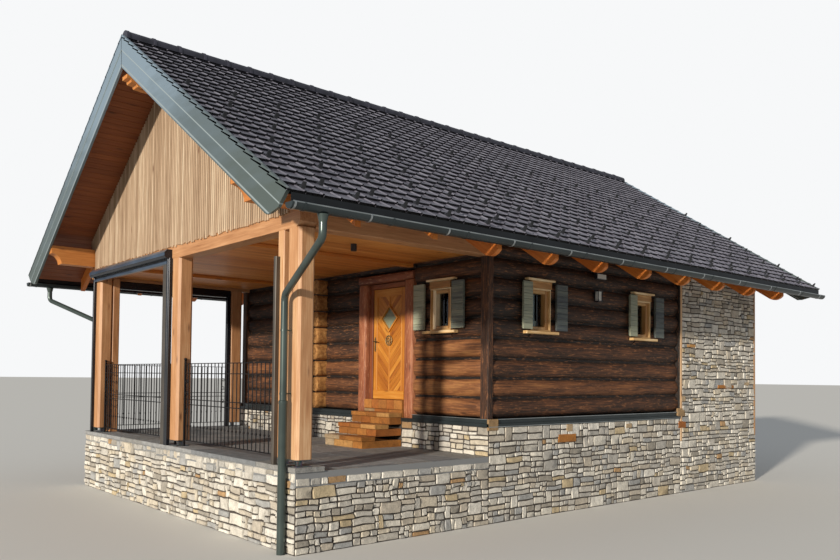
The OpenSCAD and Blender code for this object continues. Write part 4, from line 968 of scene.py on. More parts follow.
# Galvanised steel: a grey with a faint crystal pattern.
galvanised, tree, out = bare("galvanised_steel")
spot = add(tree, "TexCoord").outputs["Object"]
spangle = add(tree, "TexVoronoi", Vector=spot, Scale=60.0).outputs["Color"]
colour = add(tree, "Mix", {"data_type": "RGBA"}, _0=0.12, _6=linear("5c6164"), _7=spangle).outputs[2]
shade = add(tree, "BsdfPrincipled", Base_Color=colour, Metallic=0.8, Roughness=0.5)
tree.links.new(shade.outputs[0], out)
finish("post_feet", galvanised)
nose = [(-half_w, log_top_z), (-half_w, 4.10), (-3.82, 4.06), (-3.77, plate_z)]
beam_profile = nose + [(-x, z) for x, z in nose[::-1]]
tie = [cut_out([(x, gable_y, z) for x, z in beam_profile], (0, 0.24, 0), (1, 0, 0), 0.45)]
plate_in = 3.61
for side in (-1, 1):
    tie.append(blocks((side * plate_in, gable_in, plate_z), (side * half_w, cabin_y - 0.001, log_top_z), 0.012,
                      tone=0.5, along=1))
piece("tie_beam_and_plates", tie, "house", larch, ["tie_beam", "side_plates"])


# Ceiling. Amber oiled boards with many knots, tongued and grooved, lie over the ceiling
# beams and run along the ridge.
amber_spruce = timber("spruce_amber_oiled", [
    (0.0, "99561f"), (0.35, "c4762f"), (0.65, "da9145"), (1.0, "ecb36f")],
    knot="5a2e13", knots=0.8, across=20.0, coarse=0.5, rough=0.45, relief=0.002)
board_w, board_top, ceiling_back = 0.119, ceiling_z + 0.04, cabin_y - 0.001
beam_x, beam_half = 2.002, 0.06
x = np.arange(-plate_in, plate_in - 0.06, board_w + 0.0007)
ceiling = [blocks(spread(x, gable_in, ceiling_z),
                  spread(np.minimum(x + board_w, plate_in), ceiling_back, board_top), 0.005, along=1),
           blocks((-3.6, cabin_y + 0.235, ceiling_z), (3.6, rear_y, board_top), 0.002, along=1)]
for x in (-beam_x, beam_x):
    ceiling.append(blocks((x - beam_half, gable_in, plate_z), (x + beam_half, ceiling_back, ceiling_z), 0.008,
                          along=1))
piece("ceiling_boards", ceiling, "house", amber_spruce, ["ceiling", "ceiling_beams"])


# Roof timbers. Purlins with carved ends carry rafters with carved tails, and glazed
# boards lie over the rafters along the ridge.
pitch_angle = math.radians(33.25)
slope_c, slope_s = math.cos(pitch_angle), math.sin(pitch_angle)
ridge_z = 7.4402
slope_len = 5.0 / slope_c
verge_y = 6.565


def on_slope(s, d, side=1):
    """Plan and height of a point s down the slope from the ridge and d under its face."""
    s, d = np.asarray(s, float), np.asarray(d, float)
    return np.stack([side * (s * slope_c - d * slope_s), ridge_z - s * slope_s - d * slope_c], -1)


def roof_z(x, d):
    """Height of the right slope's plane, d under its face, at a distance x from the ridge."""
    return ridge_z - np.asarray(x) * math.tan(pitch_angle) - np.asarray(d) / slope_c


timbers_up = []
reach = verge_y - 0.05
t = np.radians(np.arange(0, 91, 10))
eave_w, eave_top, eave_depth = 0.24, 4.597, 0.333
for x0, w, top, depth in ((-half_w, eave_w, eave_top, eave_depth), (plate_in, eave_w, eave_top, eave_depth),
                          (-0.1, 0.2, 7.0394, 0.24)):
    hollow = 0.55 * depth
    end = np.concatenate([[(reach, 0)], spread(reach - hollow * np.sin(t), depth - hollow * np.cos(t))])
    outline = np.concatenate([end, end[::-1] * (-1, 1)])
    timbers_up.append(cut_out(spread(x0, outline[:, 0], top - outline[:, 1]), (w, 0, 0), (0, 1, 0), 0.6))
# A stepped bracket hangs under each end of the ridge purlin, from the gable outwards.
ridge_under, bracket_low = 6.798, 6.63
for end, inner in ((-1, 5.73), (1, 5.955)):
    outline = [(6.50, ridge_under), (6.50, 6.74), (6.44, 6.735), (6.43, 6.69), (6.35, 6.68), (6.33, 6.64),
               (6.2, bracket_low), (inner, bracket_low), (inner, ridge_under)]
    timbers_up.append(cut_out([(-0.098, end * y, z) for y, z in outline], (0.196, 0, 0), (0, 1, 0), 0.95))
top_d, under_d, deep_d = 0.1044, 0.3044, 0.4694
tail_x, belly_x, belly_r, ridge_x = 4.85, 4.70, 0.19, 0.02
belly_z = roof_z(belly_x, deep_d - belly_r)
t = np.linspace(math.asin((tail_x - belly_x) / belly_r), -pitch_angle, 12)
belly = spread(belly_x + belly_r * np.sin(t), belly_z - belly_r * np.cos(t))
upper = np.array([ridge_x, tail_x])
lower = np.array([half_w + 0.002, half_w + 0.002, ridge_x])
carved = np.concatenate([spread(upper, roof_z(upper, top_d)), belly,
                         spread(lower, roof_z(lower, [deep_d, under_d, under_d]))])
plain_x = np.array([ridge_x, tail_x, tail_x, ridge_x])
plain_section = spread(plain_x, roof_z(plain_x, [top_d, top_d, under_d, under_d]))
rafter_parts = []
rafter_w, rafter_step = 0.08, 1.19
for side in (-1, 1):
    for y in np.arange(gable_y + 0.11, back_y - 0.21, rafter_step):
        over_terrace = y < -4
        cut = plain_section if over_terrace else carved
        points = spread(side * cut[:, 0], y - (0 if over_terrace else 0.03), cut[:, 1])
        tone = chance.uniform(0.3, 0.8)
        rafter_parts.append(cut_out(points, (0, rafter_w, 0), (side * slope_c, 0, -slope_s), tone))
# Amber glazed spruce for the purlins; the rafters get a redder, brighter copy that paints the sunlit glow of
# their tails.
roof_spruce = timber("spruce_amber_timber", [
    (0.0, "8a4c20"), (0.35, "b0682f"), (0.65, "c88242"), (1.0, "dfa868")],
    knot="5a2e13", knots=0.8, across=20.0, coarse=0.5, rough=0.5, relief=0.002)
piece("purlin_timbers", timbers_up, "house", roof_spruce, ["purlins"])
sunlit_red_spruce = timber("spruce_red_amber_painted_sunlit", [
    (0.0, "9c4a18"), (0.35, "c96c28"), (0.65, "de8539"), (1.0, "edab68")],
    knot="5a2410", knots=0.8, across=20.0, coarse=0.5, rough=0.5, relief=0.002)
piece("rafter_timbers", rafter_parts, "house", sunlit_red_spruce, ["rafters"])
# Brown glazed spruce: a darker copy of the amber spruce, whose deep orange-brown paints the shade of the
# roof's underside.
shade_glazed_spruce = timber("spruce_orange_painted_shade", [
    (0.0, "562810"), (0.35, "773c19"), (0.65, "8e4d23"), (1.0, "a86432")],
    knot="45200d", knots=0.85, across=20.0, coarse=0.5, rough=0.5, relief=0.002)
boards = []
edges = np.linspace(0.004, slope_len - 0.02, 51)
for side in (-1, 1):
    x, z = on_slope((edges[:-1] + edges[1:]) / 2, 0.0922, side).T
    for y0, y1 in ((-6.52, -2.41), (-2.405, 2.2), (2.205, 6.52)):
        boards.append(timbers(spread(x, y0, z), spread(x, y1, z), (side * slope_c, 0, -slope_s),
                              edges[1] - edges[0] - 0.0008, 0.024, 0.005, chance.uniform(0.35, 0.6, 50)))
piece("roof_boarding", boards, "house", shade_glazed_spruce, ["roof_boards"])


# Gables. Narrow larch battens stand side by side over boards painted near black as the
# shade in the gaps, and their uneven lower ends hang over the tie beam.
def stretched(name, scale, detail, stops):
    """A grain drawn out by the scale of each object axis, and the colour it chooses."""
    material, tree, out = bare(name)
    spot = add(tree, "Mapping", Vector=add(tree, "TexCoord").outputs["Object"], Scale=scale)
    grain = add(tree, "TexNoise", Vector=spot, Scale=1.0, Detail=detail)
    return material, tree, out, add(tree, "ValToRGB", {"stops": stops}, Fac=grain)


# The boards behind the battens are painted near black as the shade in the gaps between them.
gap_shade_boards, tree, out, colour = stretched("spruce_boards_painted_shade", (40.0, 40.0, 2.0), 3.0,
                                           [(0.3, "0f0906"), (0.7, "21140c")])
tree.links.new(add(tree, "BsdfPrincipled", Base_Color=colour, Roughness=0.7).outputs[0], out)
finish("gable_front gable_rear", gap_shade_boards)
# Larch battens: a silvery tan, darkened part way as painted shade, each of its own tone.
batten_larch = timber("larch_batten", [(0.0, "7f6348"), (0.3, "a08468"), (0.6, "bba083"), (0.9, "d8c3a6")],
                      knot="6b4326", knots=0.75, across=16.0, coarse=0.5, rough=0.6, relief=0.002)
step, batten_w, proud_by = 0.0605, 0.036, 0.026
for y, out_to, name in ((gable_y, -1, "front"), (back_y, 1, "rear")):
    x = np.arange(-3.84 + step / 2, 3.84, step)
    top = roof_z(np.abs(x) + step / 2, 0.106)
    low = 4.215 + chance.uniform(-0.012, 0.02, len(x))
    at_eaves = np.abs(np.abs(x) - 3.73) < 0.13
    at_ridge = np.abs(x) <= 0.11
    battens = []
    for chosen, foot, head in ((~at_eaves & ~at_ridge, low, top), (at_eaves, 4.599 + 0 * x, top),
                               (at_ridge, low, 6.796 + 0 * x)):
        chosen = chosen & (head - foot > 0.02)
        xs = x[chosen]
        battens.append(blocks(spread(xs - batten_w / 2, y, foot[chosen]),
                              spread(xs + batten_w / 2, y + out_to * proud_by, head[chosen]), 0.004, along=2))
    piece("gable_battens_" + name, battens, "house", batten_larch)


# Roof tiles. Anthracite interlocking tiles in straight columns: a flat pan, a raised roll
# over the joint, and a thick nose that hangs over the tile below. The engobe gives a
# satin violet grey, and the noses are painted nearly black as their own shade.
engobe, tree, out = bare("clay_tile_anthracite_engobe")
grain = add(tree, "Attribute", {"attribute_name": "grain"}).outputs["Vector"]
tone = add(tree, "Attribute", {"attribute_name": "tone"}).outputs["Fac"]
cloud = add(tree, "TexNoise", Vector=grain, Scale=7.0, Detail=4.0)
grit = add(tree, "TexNoise", Vector=grain, Scale=110.0, Detail=2.0)
level = add(tree, "Math", {"operation": "MULTIPLY"}, _0=tone, _1=0.2)
level = add(tree, "Math", {"operation": "MULTIPLY_ADD"}, _0=cloud, _1=0.45, _2=level)
stops = [(0.15, "55545f"), (0.33, "6b6a76"), (0.5, "7f7e8a")]
colour = add(tree, "ValToRGB", {"stops": stops}, Fac=level)
# A nose looks down the slope: 0.836 and 0.548 are the cosine and sine of the roof's pitch. Such faces are
# painted nearly black as shade.
way = add(tree, "SeparateXYZ", Vector=add(tree, "NewGeometry").outputs["True Normal"])
outward = add(tree, "Math", {"operation": "ABSOLUTE"}, _0=way.outputs["X"])
downward = add(tree, "Math", {"operation": "MULTIPLY"}, _0=way.outputs["Z"], _1=-0.548)
nose_painted_shade = add(tree, "Math", {"operation": "MULTIPLY_ADD"}, _0=outward, _1=0.836, _2=downward)
nose_painted_shade = add(tree, "ValToRGB", {"stops": [(0.5, 0.0), (0.7, 1.0)]}, Fac=nose_painted_shade)
colour = add(tree, "Mix", {"data_type": "RGBA"}, _0=nose_painted_shade, _6=colour, _7=linear("17171b")).outputs[2]
bump = add(tree, "Bump", Strength=0.2, Distance=0.002, Height=grit)
shade = add(tree, "BsdfPrincipled", Base_Color=colour, Roughness=0.36, Normal=bump)
tree.links.new(shade.outputs[0], out)
columns, rows = 56, 27
column_w, row_h, tile_l = (2 * verge_y - 0.012) / columns, 0.2225, 0.27
tile_u = np.array([0.0, 0.206, 0.211, 0.219, 0.229, 0.237, 0.2385])
tile_h = np.array([0.0, 0.0, 0.008, 0.012, 0.012, 0.007, -0.006])
thinner = np.array([0.0, 0.006, 0.0, -0.004, -0.004, 0.0, 0.0])
s_nose = slope_len - row_h * np.arange(rows)
head_drop = 0.036
for side, name in ((-1, "left"), (1, "right")):
    s0, y0 = np.meshgrid(s_nose, -verge_y + column_w * np.arange(columns), indexing="ij")
    s0, y0 = s0.reshape(-1, 1), y0.reshape(-1, 1)
    n, k = len(s0), len(tile_u)
    lift = chance.normal(0, 0.0012, n)[:, None]
    slip = chance.normal(0, 0.0015, n)[:, None]
    y = np.minimum(y0 + tile_u, verge_y)
    # Each tile has four rows of points: nose and head on top, then head and nose below.
    grid = []
    for back, deeper, thick in ((0, 0, 0), (tile_l, head_drop, 0), (tile_l, head_drop, 0.014),
                                (0.003, 0, 0.024 - thinner)):
        s = np.maximum(s0 - back + slip, 0.02)
        grid.append(spread(s, y, deeper - tile_h + lift + 0.0145 + thick))
    grid = np.stack(grid, 1)
    plan = on_slope(grid[..., 0], grid[..., 2], side)
    points = spread(plan[..., 0], grid[..., 1], plan[..., 1])
    i, j = (g.ravel() for g in np.meshgrid(np.arange(4), np.arange(k - 1), indexing="ij"))
    after = (i + 1) % 4
    quads = np.stack([i * k + j, i * k + j + 1, after * k + j + 1, after * k + j], 1)
    ends = np.array([[0, k, 2 * k, 3 * k], [4 * k - 1, 3 * k - 1, 2 * k - 1, k - 1]])
    quads = np.concatenate([quads, ends])[:, ::side]
    base = 4 * k * np.arange(n)[:, None, None]
    grain = points.reshape(n, -1, 3) + chance.uniform(0, 40, (n, 1, 3))
    tiles = (points.reshape(-1, 3), [(base + quads[None]).reshape(-1, 4)], grain.reshape(-1, 3),
             np.repeat(chance.random(n), 4 * k))
    x, z = on_slope((0.03 + slope_len) / 2 - 0.02, 0.062, side)
    # A plain slab under the tiles closes the slope.
    bed = timbers((x, -verge_y + 0.05, z), (x, verge_y - 0.05, z), (side * slope_c, 0, -slope_s),
                  slope_len - 0.06, 0.034, tone=0.0)
    piece("roof_tiles_" + name, [tiles, bed], "house", engobe, ["roof_slope_" + name],
          smooth=50)

# Snow guards are bent steel straps that stand up behind a tile's nose, in staggered rows.
# Their black powder coat has a fine orange peel.
dark_steel = mottled("powder_coated_steel", 250.0, "23252a", 0.0, 0.4, 1.0, (0.1, 0.001))
guards = []
strap_w, guard_step = 0.045, 0.703
for side in (-1, 1):
    for row in range(-1, 6):
        s = slope_len - 0.030 if row < 0 else slope_len - 0.260 - 0.667 * row
        outline = ((s, 0), (s - 0.01, -0.079), (s - 0.018, -0.079), (s - 0.025, -0.06), (s - 0.04, -0.012),
                   (s - 0.075, -0.012), (s - 0.075, 0))
        plan = on_slope(*np.transpose(outline), side)
        for y in np.arange(0.185 - verge_y + (0 if row % 2 else guard_step / 2), verge_y - 0.185, guard_step):
            guards.append(cut_out(spread(plan[:, 0], y, plan[:, 1]), (0, strap_w, 0)))
piece("snow_guard_hooks", guards, "house", dark_steel, ["snow_guards"], smooth=30)

# Ridge tiles are half-round, each with a raised collar over the end of the next, in a
# darker engobe than the slopes.
t = np.radians(np.linspace(-12, 192, 15))
arc = np.stack([np.cos(t), np.sin(t)], 1)
caps = []
count, cap_end = 31, verge_y - 0.045
cap_l = 2 * cap_end / count
# Along each tile: the collar with its two edges, then the taper that slips under the next.
collar_r = 0.1195
stations = ((0, 0.1165), (0.004, collar_r), (0.05, collar_r), (0.054, 0.111), (cap_l - 0.004, 0.1065),
            (cap_l + 0.02, 0.106))
for k in range(count):
    chosen = stations[:-1] if k == count - 1 else stations
    path = [(0, min(k * cap_l - cap_end + a, cap_end), ridge_z - 0.06) for a, _ in chosen]
    caps.append(carried([arc * r for _, r in chosen], path, (-1, 0, 0), tone=chance.random()))
ridge_clay = mottled("clay_ridge_black_engobe", 6.0, [(0.3, "26262e"), (0.7, "3a3a46")], 0.0, 0.34, 3.0,
                     grained=True)
piece("ridge_tiles", caps, "house", ridge_clay, ["ridge_cap"], smooth=40)


# Verge boards. Deep fascias of coated aluminium sheet, an upper sheet lapped over a lower
# one; their grey-green coat turns bluer and paler towards the ridge, and a light grey is painted along the
# fold lines as their highlight.
verge_sheet, tree, out = bare("coated_aluminium_verge")
spot = add(tree, "TexCoord").outputs["Object"]
split = add(tree, "SeparateXYZ", Vector=spot).outputs
out_by = add(tree, "Math", {"operation": "ABSOLUTE"}, _0=split["X"])
fall = add(tree, "Math", {"operation": "MULTIPLY"}, _0=out_by, _1=slope_s)
drop = add(tree, "Math", {"operation": "MULTIPLY_ADD"}, _0=split["Z"], _1=-slope_c, _2=ridge_z * slope_c)
depth = add(tree, "Math", {"operation": "SUBTRACT"}, _0=drop, _1=fall)
drawn = add(tree, "Mapping", Vector=spot, Scale=(0.8, 3.0, 3.0))
cloud = add(tree, "TexNoise", Vector=drawn, Scale=2.0, Detail=3.0)
place_up = add(tree, "MapRange", _0=split["Z"], _1=4.0, _2=7.3)
mixed = add(tree, "Math", {"operation": "MULTIPLY_ADD"}, _0=cloud, _1=0.5, _2=place_up)
stops = [(0.3, "5a6562"), (0.65, "66747a"), (1.0, "879bab")]
colour = add(tree, "ValToRGB", {"stops": stops}, Fac=mixed)
stops = [(0.0, 0.0), (0.205, 0.0), (0.212, 1.0), (0.222, 1.0), (0.229, 0.0), (0.392, 0.0), (0.398, 1.0),
         (0.413, 1.0), (0.419, 0.0)]
seam = add(tree, "ValToRGB", {"stops": stops}, Fac=depth)
# The light grey along the folds is a painted highlight.
colour = add(tree, "Mix", {"data_type": "RGBA"}, _0=seam, _6=colour, _7=linear("a3b0b3")).outputs[2]
plumb = add(tree, "ValToRGB", {"stops": [(0.007, 1.0), (0.011, 0.0)]}, Fac=out_by)
colour = add(tree, "Mix", {"data_type": "RGBA"}, _0=plumb, _6=colour, _7=linear("14181c")).outputs[2]
stops = [(0.200, 0.0), (0.214, 1.0), (0.392, 1.0), (0.406, 0.2)]
step_up = add(tree, "ValToRGB", {"stops": stops}, Fac=depth)
folded = add(tree, "Bump", Strength=0.6, Distance=0.006, Height=step_up)
dented = add(tree, "Bump", Strength=0.12, Distance=0.02, Height=cloud, Normal=folded)
shade = add(tree, "BsdfPrincipled", Base_Color=colour, Metallic=0.3, Roughness=0.34, Normal=dented)
tree.links.new(shade.outputs[0], out)
finish("verge_boards", verge_sheet)
# Zinc clips at the end of each course along the verges: light dots painted as the highlights on the tiles'
# ends.
clip_highlights = []
s = s_nose - 0.005
for side in (-1, 1):
    for end in (-1, 1):
        (x0, z0), (x1, z1) = on_slope(s - 0.07, 0.018, side).T, on_slope(s, 0.008, side).T
        y = end * (verge_y - 0.012)
        clip_highlights.append(timbers(spread(x0, y, z0), spread(x1, y, z1), (0, 1, 0), 0.022, 0.016, 0.003))


# Eave sheets. A folded sheet of coated steel is nailed to the roof boards' edge along
# each eave. It hangs under the tile noses and turns out over the gutter, and is painted near black as the
# shade under the noses.
eave_shade_sheet = mottled("eave_sheet_painted_shade", 2.0, [(0.3, "15171a"), (0.7, "22262a")], 0.3, 0.45)
outline = [(4.984, 4.118), (4.990, 4.118), (4.990, 4.034), (5.012, 4.010), (5.008, 4.006), (4.984, 4.030)]
sheet_y = 6.515
eave_sheets = [cut_out([(side * x, -sheet_y, z) for x, z in outline], (0, 2 * sheet_y, 0), (0, 1, 0))
               for side in (-1, 1)]
piece("eave_drip_sheets", eave_sheets, "house", eave_shade_sheet, smooth=30)


# Rainwater. Half-round gutters hang in bright zinc hooks under the eaves. At the front
# corners round pipes lead back from the outlets in smooth bends and run down into wider feet.
gutter_x, gutter_z, gutter_r = 5.03, 4.002, 0.075
zinc = mottled("zinc_bright", 30.0, [(0.3, "8d9499"), (0.7, "c3c9cc")], 1.0, 0.45, 3.0)
t = np.radians(np.linspace(180, 362, 15))
band = [(gutter_x + r * math.cos(a), gutter_z + r * math.sin(a)) for r, turns in
        ((gutter_r + 0.0045, t), (gutter_r + 0.001, t[::-1])) for a in turns]
hooks = []
for side in (-1, 1):
    for y in (-6.54, -5.546, -4.355, -3.188, -2.0, -0.748, 0.464, 1.616, 2.876, 4.091, 5.358, 6.30):
        hooks.append(cut_out([(side * x, y, z) for x, z in band], (0, 0.025, 0)))
piece("gutter_hooks", hooks, "house", zinc, smooth=50)
# Pale zinc bars along the gutters' outer rims paint the highlight on their beads.
bead_x, gutter_y = 5.098, 6.552
bead_highlights = [round_bar([(x, y, gutter_z - 0.002) for y in (-gutter_y, gutter_y)], 0.0095, (1, 0, 0), 10)
         for x in (-bead_x, bead_x)]
piece("gutter_bead_highlights", bead_highlights, "house", highlight_sheet, smooth=50)
piece("verge_tile_clip_highlights", clip_highlights, "house", zinc)


def bent(corners, radius):
    """A run through corners with round bends. Near each corner the path follows the
    quadratic curve p = (1-t)(1-t) before + 2 t (1-t) corner + t t after."""
    corners = [np.asarray(c, float) for c in corners]
    path = [corners[0]]
    t = np.linspace(0, 1, 7)[:, None]
    for before, corner, after in zip(corners, corners[1:], corners[2:]):
        back, on = before - corner, after - corner
        back_len, on_len = np.linalg.norm(back), np.linalg.norm(on)
        back_by = min(radius, 0.45 * back_len, 0.45 * on_len)
        p, q = corner + back / back_len * back_by, corner + on / on_len * back_by
        path += list((1 - t) ** 2 * p + 2 * t * (1 - t) * corner + t * t * q)
    return np.array(path + [corners[-1]])


def lathed(x, y, stations, sides=20, across=(1, 0, 0)):
    """A round upright shape over a place in plan: each station is a height and a radius."""
    return carried([r * circle(sides) for _, r in stations], [(x, y, z) for z, _ in stations], across)


outlet_y, outlet_z = -6.14, gutter_z - gutter_r
knee, right_y, left_y, foot_x = plate_z - 0.85, -5.807, -5.53, -3.967
cone = [(outlet_z - drop, r) for drop, r in ((0, 0.064), (0.02, 0.060), (0.075, 0.046), (0.092, 0.044))]
pipes = [lathed(side * gutter_x, outlet_y, cone) for side in (-1, 1)]
right_x, left_x, pipe_r, foot_z = 3.70, -3.75, 0.0445, 0.004
right_down = [(right_x, right_y, knee), (right_x, right_y, foot_z)]
left_down = [(left_x, left_y, knee), (left_x, left_y, 1.49), (foot_x, left_y, 1.30), (foot_x, left_y, foot_z)]
for side, run in ((1, right_down), (-1, left_down)):
    path = bent([(side * gutter_x, outlet_y, outlet_z - drop) for drop in (0.08, 0.25)] + run, 0.09)
    pipes.append(round_bar(path, pipe_r, np.cross(path[-1] - path[0], (0.2, 1.0, 0.1)), 16))
shoe_r, rim_r, strap_r, strap_h = 0.054, 0.057, 0.049, 0.024
for x, y, high in ((right_x, right_y, 1.88), (foot_x, left_y, 1.10)):
    shoe = ((0.002, shoe_r), (high - 0.05, shoe_r), (high - 0.04, rim_r), (high - 0.008, rim_r), (high, 0.047))
    pipes.append(lathed(x, y, shoe))
# Straps hold each pipe to its corner post by a short arm.
for x, y, z in ((right_x, right_y, 1.95), (right_x, right_y, knee - 0.45),
                (left_x, left_y, 1.59), (left_x, left_y, knee - 0.45)):
    pipes.append(lathed(x, y, ((z, strap_r), (z + strap_h, strap_r))))
    if x > 0:
        pipes.append(blocks((x - 0.006, y + 0.04, z + 0.004), (x + 0.006, gable_y, z + 0.02), 0.002, along=1))
    else:
        pipes.append(blocks((x + 0.04, y - 0.006, z + 0.004), (-3.58, y + 0.006, z + 0.02), 0.002))
# Coated pipe sheet: a satin green-grey.
pipe_sheet = mottled("coated_pipe_sheet", 2.0, [(0.3, "414c4a"), (0.7, "54605d")], 0.45, 0.28)
piece("rain_pipes", pipes, "house", pipe_sheet, ["downpipes"], smooth=40)


# Roller screens. The wound-up screens of the left bay and the left side sit in long
# cassettes under the beam; a drop bar hangs under each, and guide rails run down the
# posts. All are extruded aluminium, and most are coated in a dark blue-black.
screen_metal = mottled("extruded_aluminium_coated", 2.5, [(0.3, "12151c"), (0.7, "1d222c")], 0.25, 0.26)
top, low, front = 4.179, 4.039, -5.8245
section = [(gable_y, low), (gable_y, top), (-5.775, top), (front, top - 0.05), (front, low + 0.03),
           (-5.80, low)]
case_left, case_right, case_end = -3.58, 0.03, 0.008
inside_l = case_right - case_left - 2 * case_end
screens = [cut_out([(x, y, z) for y, z in section], (length, 0, 0), (1, 0, 0)) for x, length in
           ((case_left + case_end, inside_l), (case_left, case_end), (case_right - case_end, case_end))]
rail_w, bar_left = 0.055, -3.524
for x0 in (case_left, 0.0):
    screens.append(blocks((x0, -5.75, coping_top), (x0 + rail_w, gable_y, low), 0.004, along=2))
# A thin blue-grey plate over the sloping front of the cassette paints its highlight.
plate = ((-5.776, 4.1805), (-5.8262, 4.1295), (-5.8262, 4.078), (-5.8244, 4.078), (-5.8244, 4.1285),
         (-5.7755, 4.1788))
bars = [blocks((bar_left, -5.752, 3.955), (-0.061, -5.705, 4.005), 0.012),
        cut_out([(case_left + 0.001, y, z) for y, z in plate], (case_right - case_left - 0.002, 0, 0),
                (1, 0, 0))]
# The cloth's edge over the front bar, then the left side's cassette and its bar.
side_y0, side_y1, case_in, side_low = -5.455, -2.805, -3.61, 3.874
screens += [blocks((bar_left, -5.731, 4.009), (-0.001, -5.725, low), 0.001),
            blocks((-3.73, side_y0, side_low), (case_in, side_y1, plate_z), 0.02, along=1),
            blocks((-3.675, -5.37, 3.82), (-3.635, -2.89, 3.865), 0.01, along=1)]
for y0 in (side_y0, side_y1 - 0.08):
    screens.append(blocks((-3.69, y0, coping_top), (case_in, y0 + 0.08, side_low), 0.005, along=2))
screens.append(blocks((-rail_w, -5.752, coping_top), (-0.001, gable_y, low), 0.004, along=2))
piece("roller_screen_frames", screens, "house", screen_metal, ["screen_frames"], smooth=40)
# Bronze-grey aluminium for two plain rails, the right one paler than the other guides as painted sunlight;
# blue-grey for the drop bar, and for the cassette's plate as a painted highlight.
bronze_and_sunlit_rail = mottled("extruded_aluminium_bronze_and_sunlit", 2.5, [(0.3, "4a453f"), (0.7, "5b554e")], 0.3, 0.4)
rails = [blocks((3.33, -5.755, coping_top), (3.39, gable_y, 3.699), 0.006, along=2),
         blocks((-0.215, -5.742, 1.065), (-0.06, -5.712, 3.953), 0.004, along=2)]
piece("screen_rails_bronze", rails, "house", bronze_and_sunlit_rail)
steel_blue = mottled("aluminium_blue_grey", 2.5, [(0.3, "3c4b5e"), (0.7, "506176")], 0.4, 0.3)
piece("screen_drop_bar", bars, "house", steel_blue)
post = blocks((-3.575, -5.452, 1.065), (-3.302, -5.325, 4.027), 0.01, tone=0.3, along=2)
piece("second_corner_post", [post], "house", larch)


# Railings. Forged round bars stand between flat rails, with a ball-headed upright at
# each post and scrolls beside it.
def rail_panel(length):
    """A panel along X from x = 0, in the frame of its own foot, as the real one is made."""
    top, edge, lowest, flat_t, pitch = 1.30, 0.026, 0.09, 0.012, 0.115
    parts = [blocks((0, -flat_t, z), (length, flat_t, z + flat_t), 0.002)
             for z in (lowest, top / 2, top / 2 + 0.08, top - 0.165, top - flat_t)]
    inner = length - 2 * edge
    n = int(inner / pitch)
    for i in range(1, n + 1):
        x = edge + i * inner / (n + 1)
        parts.append(round_bar([(x, 0, z) for z in (lowest, top / 2 - 0.07, top - 0.006)], 0.008))
        collar = ((0.31, 0.008), (0.318, 0.014), (0.334, 0.014), (0.342, 0.008))
        parts.append(lathed(x, 0, collar, 8, (0, 1, 0)))
    t = np.linspace(0.15, np.pi - 0.05, 8)
    ball = [(top + 0.062 - 0.024 * math.cos(v), 0.024 * math.sin(w)) for v, w in zip(t, t[::-1])]
    for x, way in ((edge, 1), (length - edge, -1)):
        parts.append(blocks((x - 0.015, -0.015, 0), (x + 0.015, 0.015, top + 0.04), 0.003, along=2))
        parts.append(lathed(x, 0, ball, 12, (0, 1, 0)))
        for z, r in ((0.56, 0.05), (0.84, 0.045), (1.02, 0.04)):
            eye = (x + way * (0.02 + r), 0, z)
            scroll = spiral(eye, math.pi if way > 0 else 0, 1.3 * way, r, 0.012)
            parts.append(round_bar(scroll, 0.006, sides=6))
    return parts


panels = []
# Two panels between the front posts and one along the left side.
for x0, y0, length, u, inward in ((-3.30, post_mid_y, 3.33, (1, 0, 0), (0, 1, 0)),
                                  (0.31, post_mid_y, 3.02, (1, 0, 0), (0, 1, 0)),
                                  (-3.73, -5.307, 2.502, (0, 1, 0), (-1, 0, 0))):
    panels += placed(rail_panel(length), (x0, y0, coping_top), u, inward)
piece("forged_railings", panels, "house", black_iron, ["railings"], smooth=50)


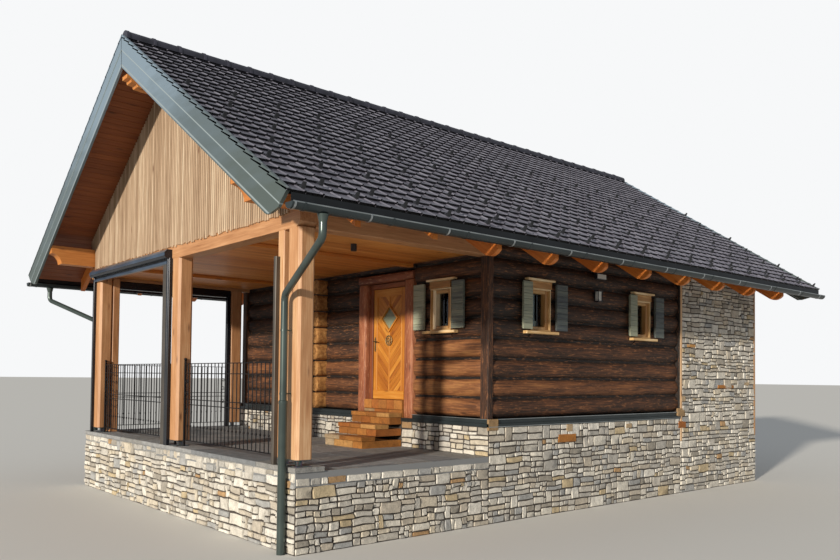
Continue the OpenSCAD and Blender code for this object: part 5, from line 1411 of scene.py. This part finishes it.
# Wall lamps. A small lantern and a floodlight hang on each side wall, and a spotlight
# under the terrace ceiling: cast aluminium, coated black, with frosted lenses.
lamp_parts, lenses = [], []
lamp_y = 0.255
for side in (-1, 1):
    on_wall = (side * half_w, lamp_y, 0), (0, side, 0), (-side, 0, 0)
    # The lantern's back plate, its roof, its floor and its four corner bars.
    body = [blocks((-0.03, -0.02, 3.53), (0.03, 0, 3.69), 0.006, along=2),
            blocks((-0.065, -0.11, 3.68), (0.065, -0.006, 3.70), 0.006),
            blocks((-0.06, -0.106, 3.50), (0.06, -0.01, 3.518), 0.005)]
    for x, y in ((-0.055, -0.101), (0.055, -0.101), (-0.055, -0.014), (0.055, -0.014)):
        body.append(blocks((x - 0.004, y - 0.004, 3.51), (x + 0.004, y + 0.004, 3.69), 0.001, along=2))
    # The floodlight over it, on its arm.
    body += [blocks((-0.135, -0.13, 3.885), (0.135, -0.07, 3.985), 0.012),
             blocks((-0.03, -0.07, 3.92), (0.03, 0, 3.95), 0.005, along=1)]
    lamp_parts += placed(body, *on_wall)
    lenses += placed([blocks((-0.045, -0.094, 3.519), (0.045, -0.02, 3.679), 0.01, along=2),
                      blocks((-0.12, -0.1305, 3.895), (0.12, -0.128, 3.973), 0.001)], *on_wall)
lamp_parts.append(round_bar([(2.948, -4.232, z) for z in (4.088, 4.05, 4.04, 3.986)], 0.045, (1, 0, 0), 16))
piece("lamp_housings", lamp_parts, "house", dark_steel, ["wall_lamps"])
# Frosted glass: milky, with a fine grain.
frosted = mottled("frosted_glass", 200.0, "d9d9d2", 0.0, 0.5, dents=(0.2, 0.001), clear=0.2)
piece("lamp_lenses", lenses, "house", frosted)


# Cabin floor. Oiled boards on joists, seen only through the doorway and the windows; the
# joints of the boards are dark lines 0.14 m apart.
plank_floor, tree, out, colour = stretched("oiled_floor_boards", (2.0, 30.0, 30.0), 4.0,
                                           [(0.3, "6d4a2c"), (0.7, "a0764c")])
across_y = add(tree, "SeparateXYZ", Vector=add(tree, "TexCoord").outputs["Object"]).outputs["Y"]
in_board = add(tree, "Math", {"operation": "PINGPONG"}, _0=across_y, _1=0.07)
groove = add(tree, "ValToRGB", {"stops": [(0.003, 0.25), (0.006, 1.0)]}, Fac=in_board)
colour = add(tree, "Mix", {"data_type": "RGBA", "blend_type": "MULTIPLY"},
             _0=1.0, _6=colour, _7=groove).outputs[2]
tree.links.new(add(tree, "BsdfPrincipled", Base_Color=colour, Roughness=0.5).outputs[0], out)
finish("cabin_floor floor_joists", plank_floor)
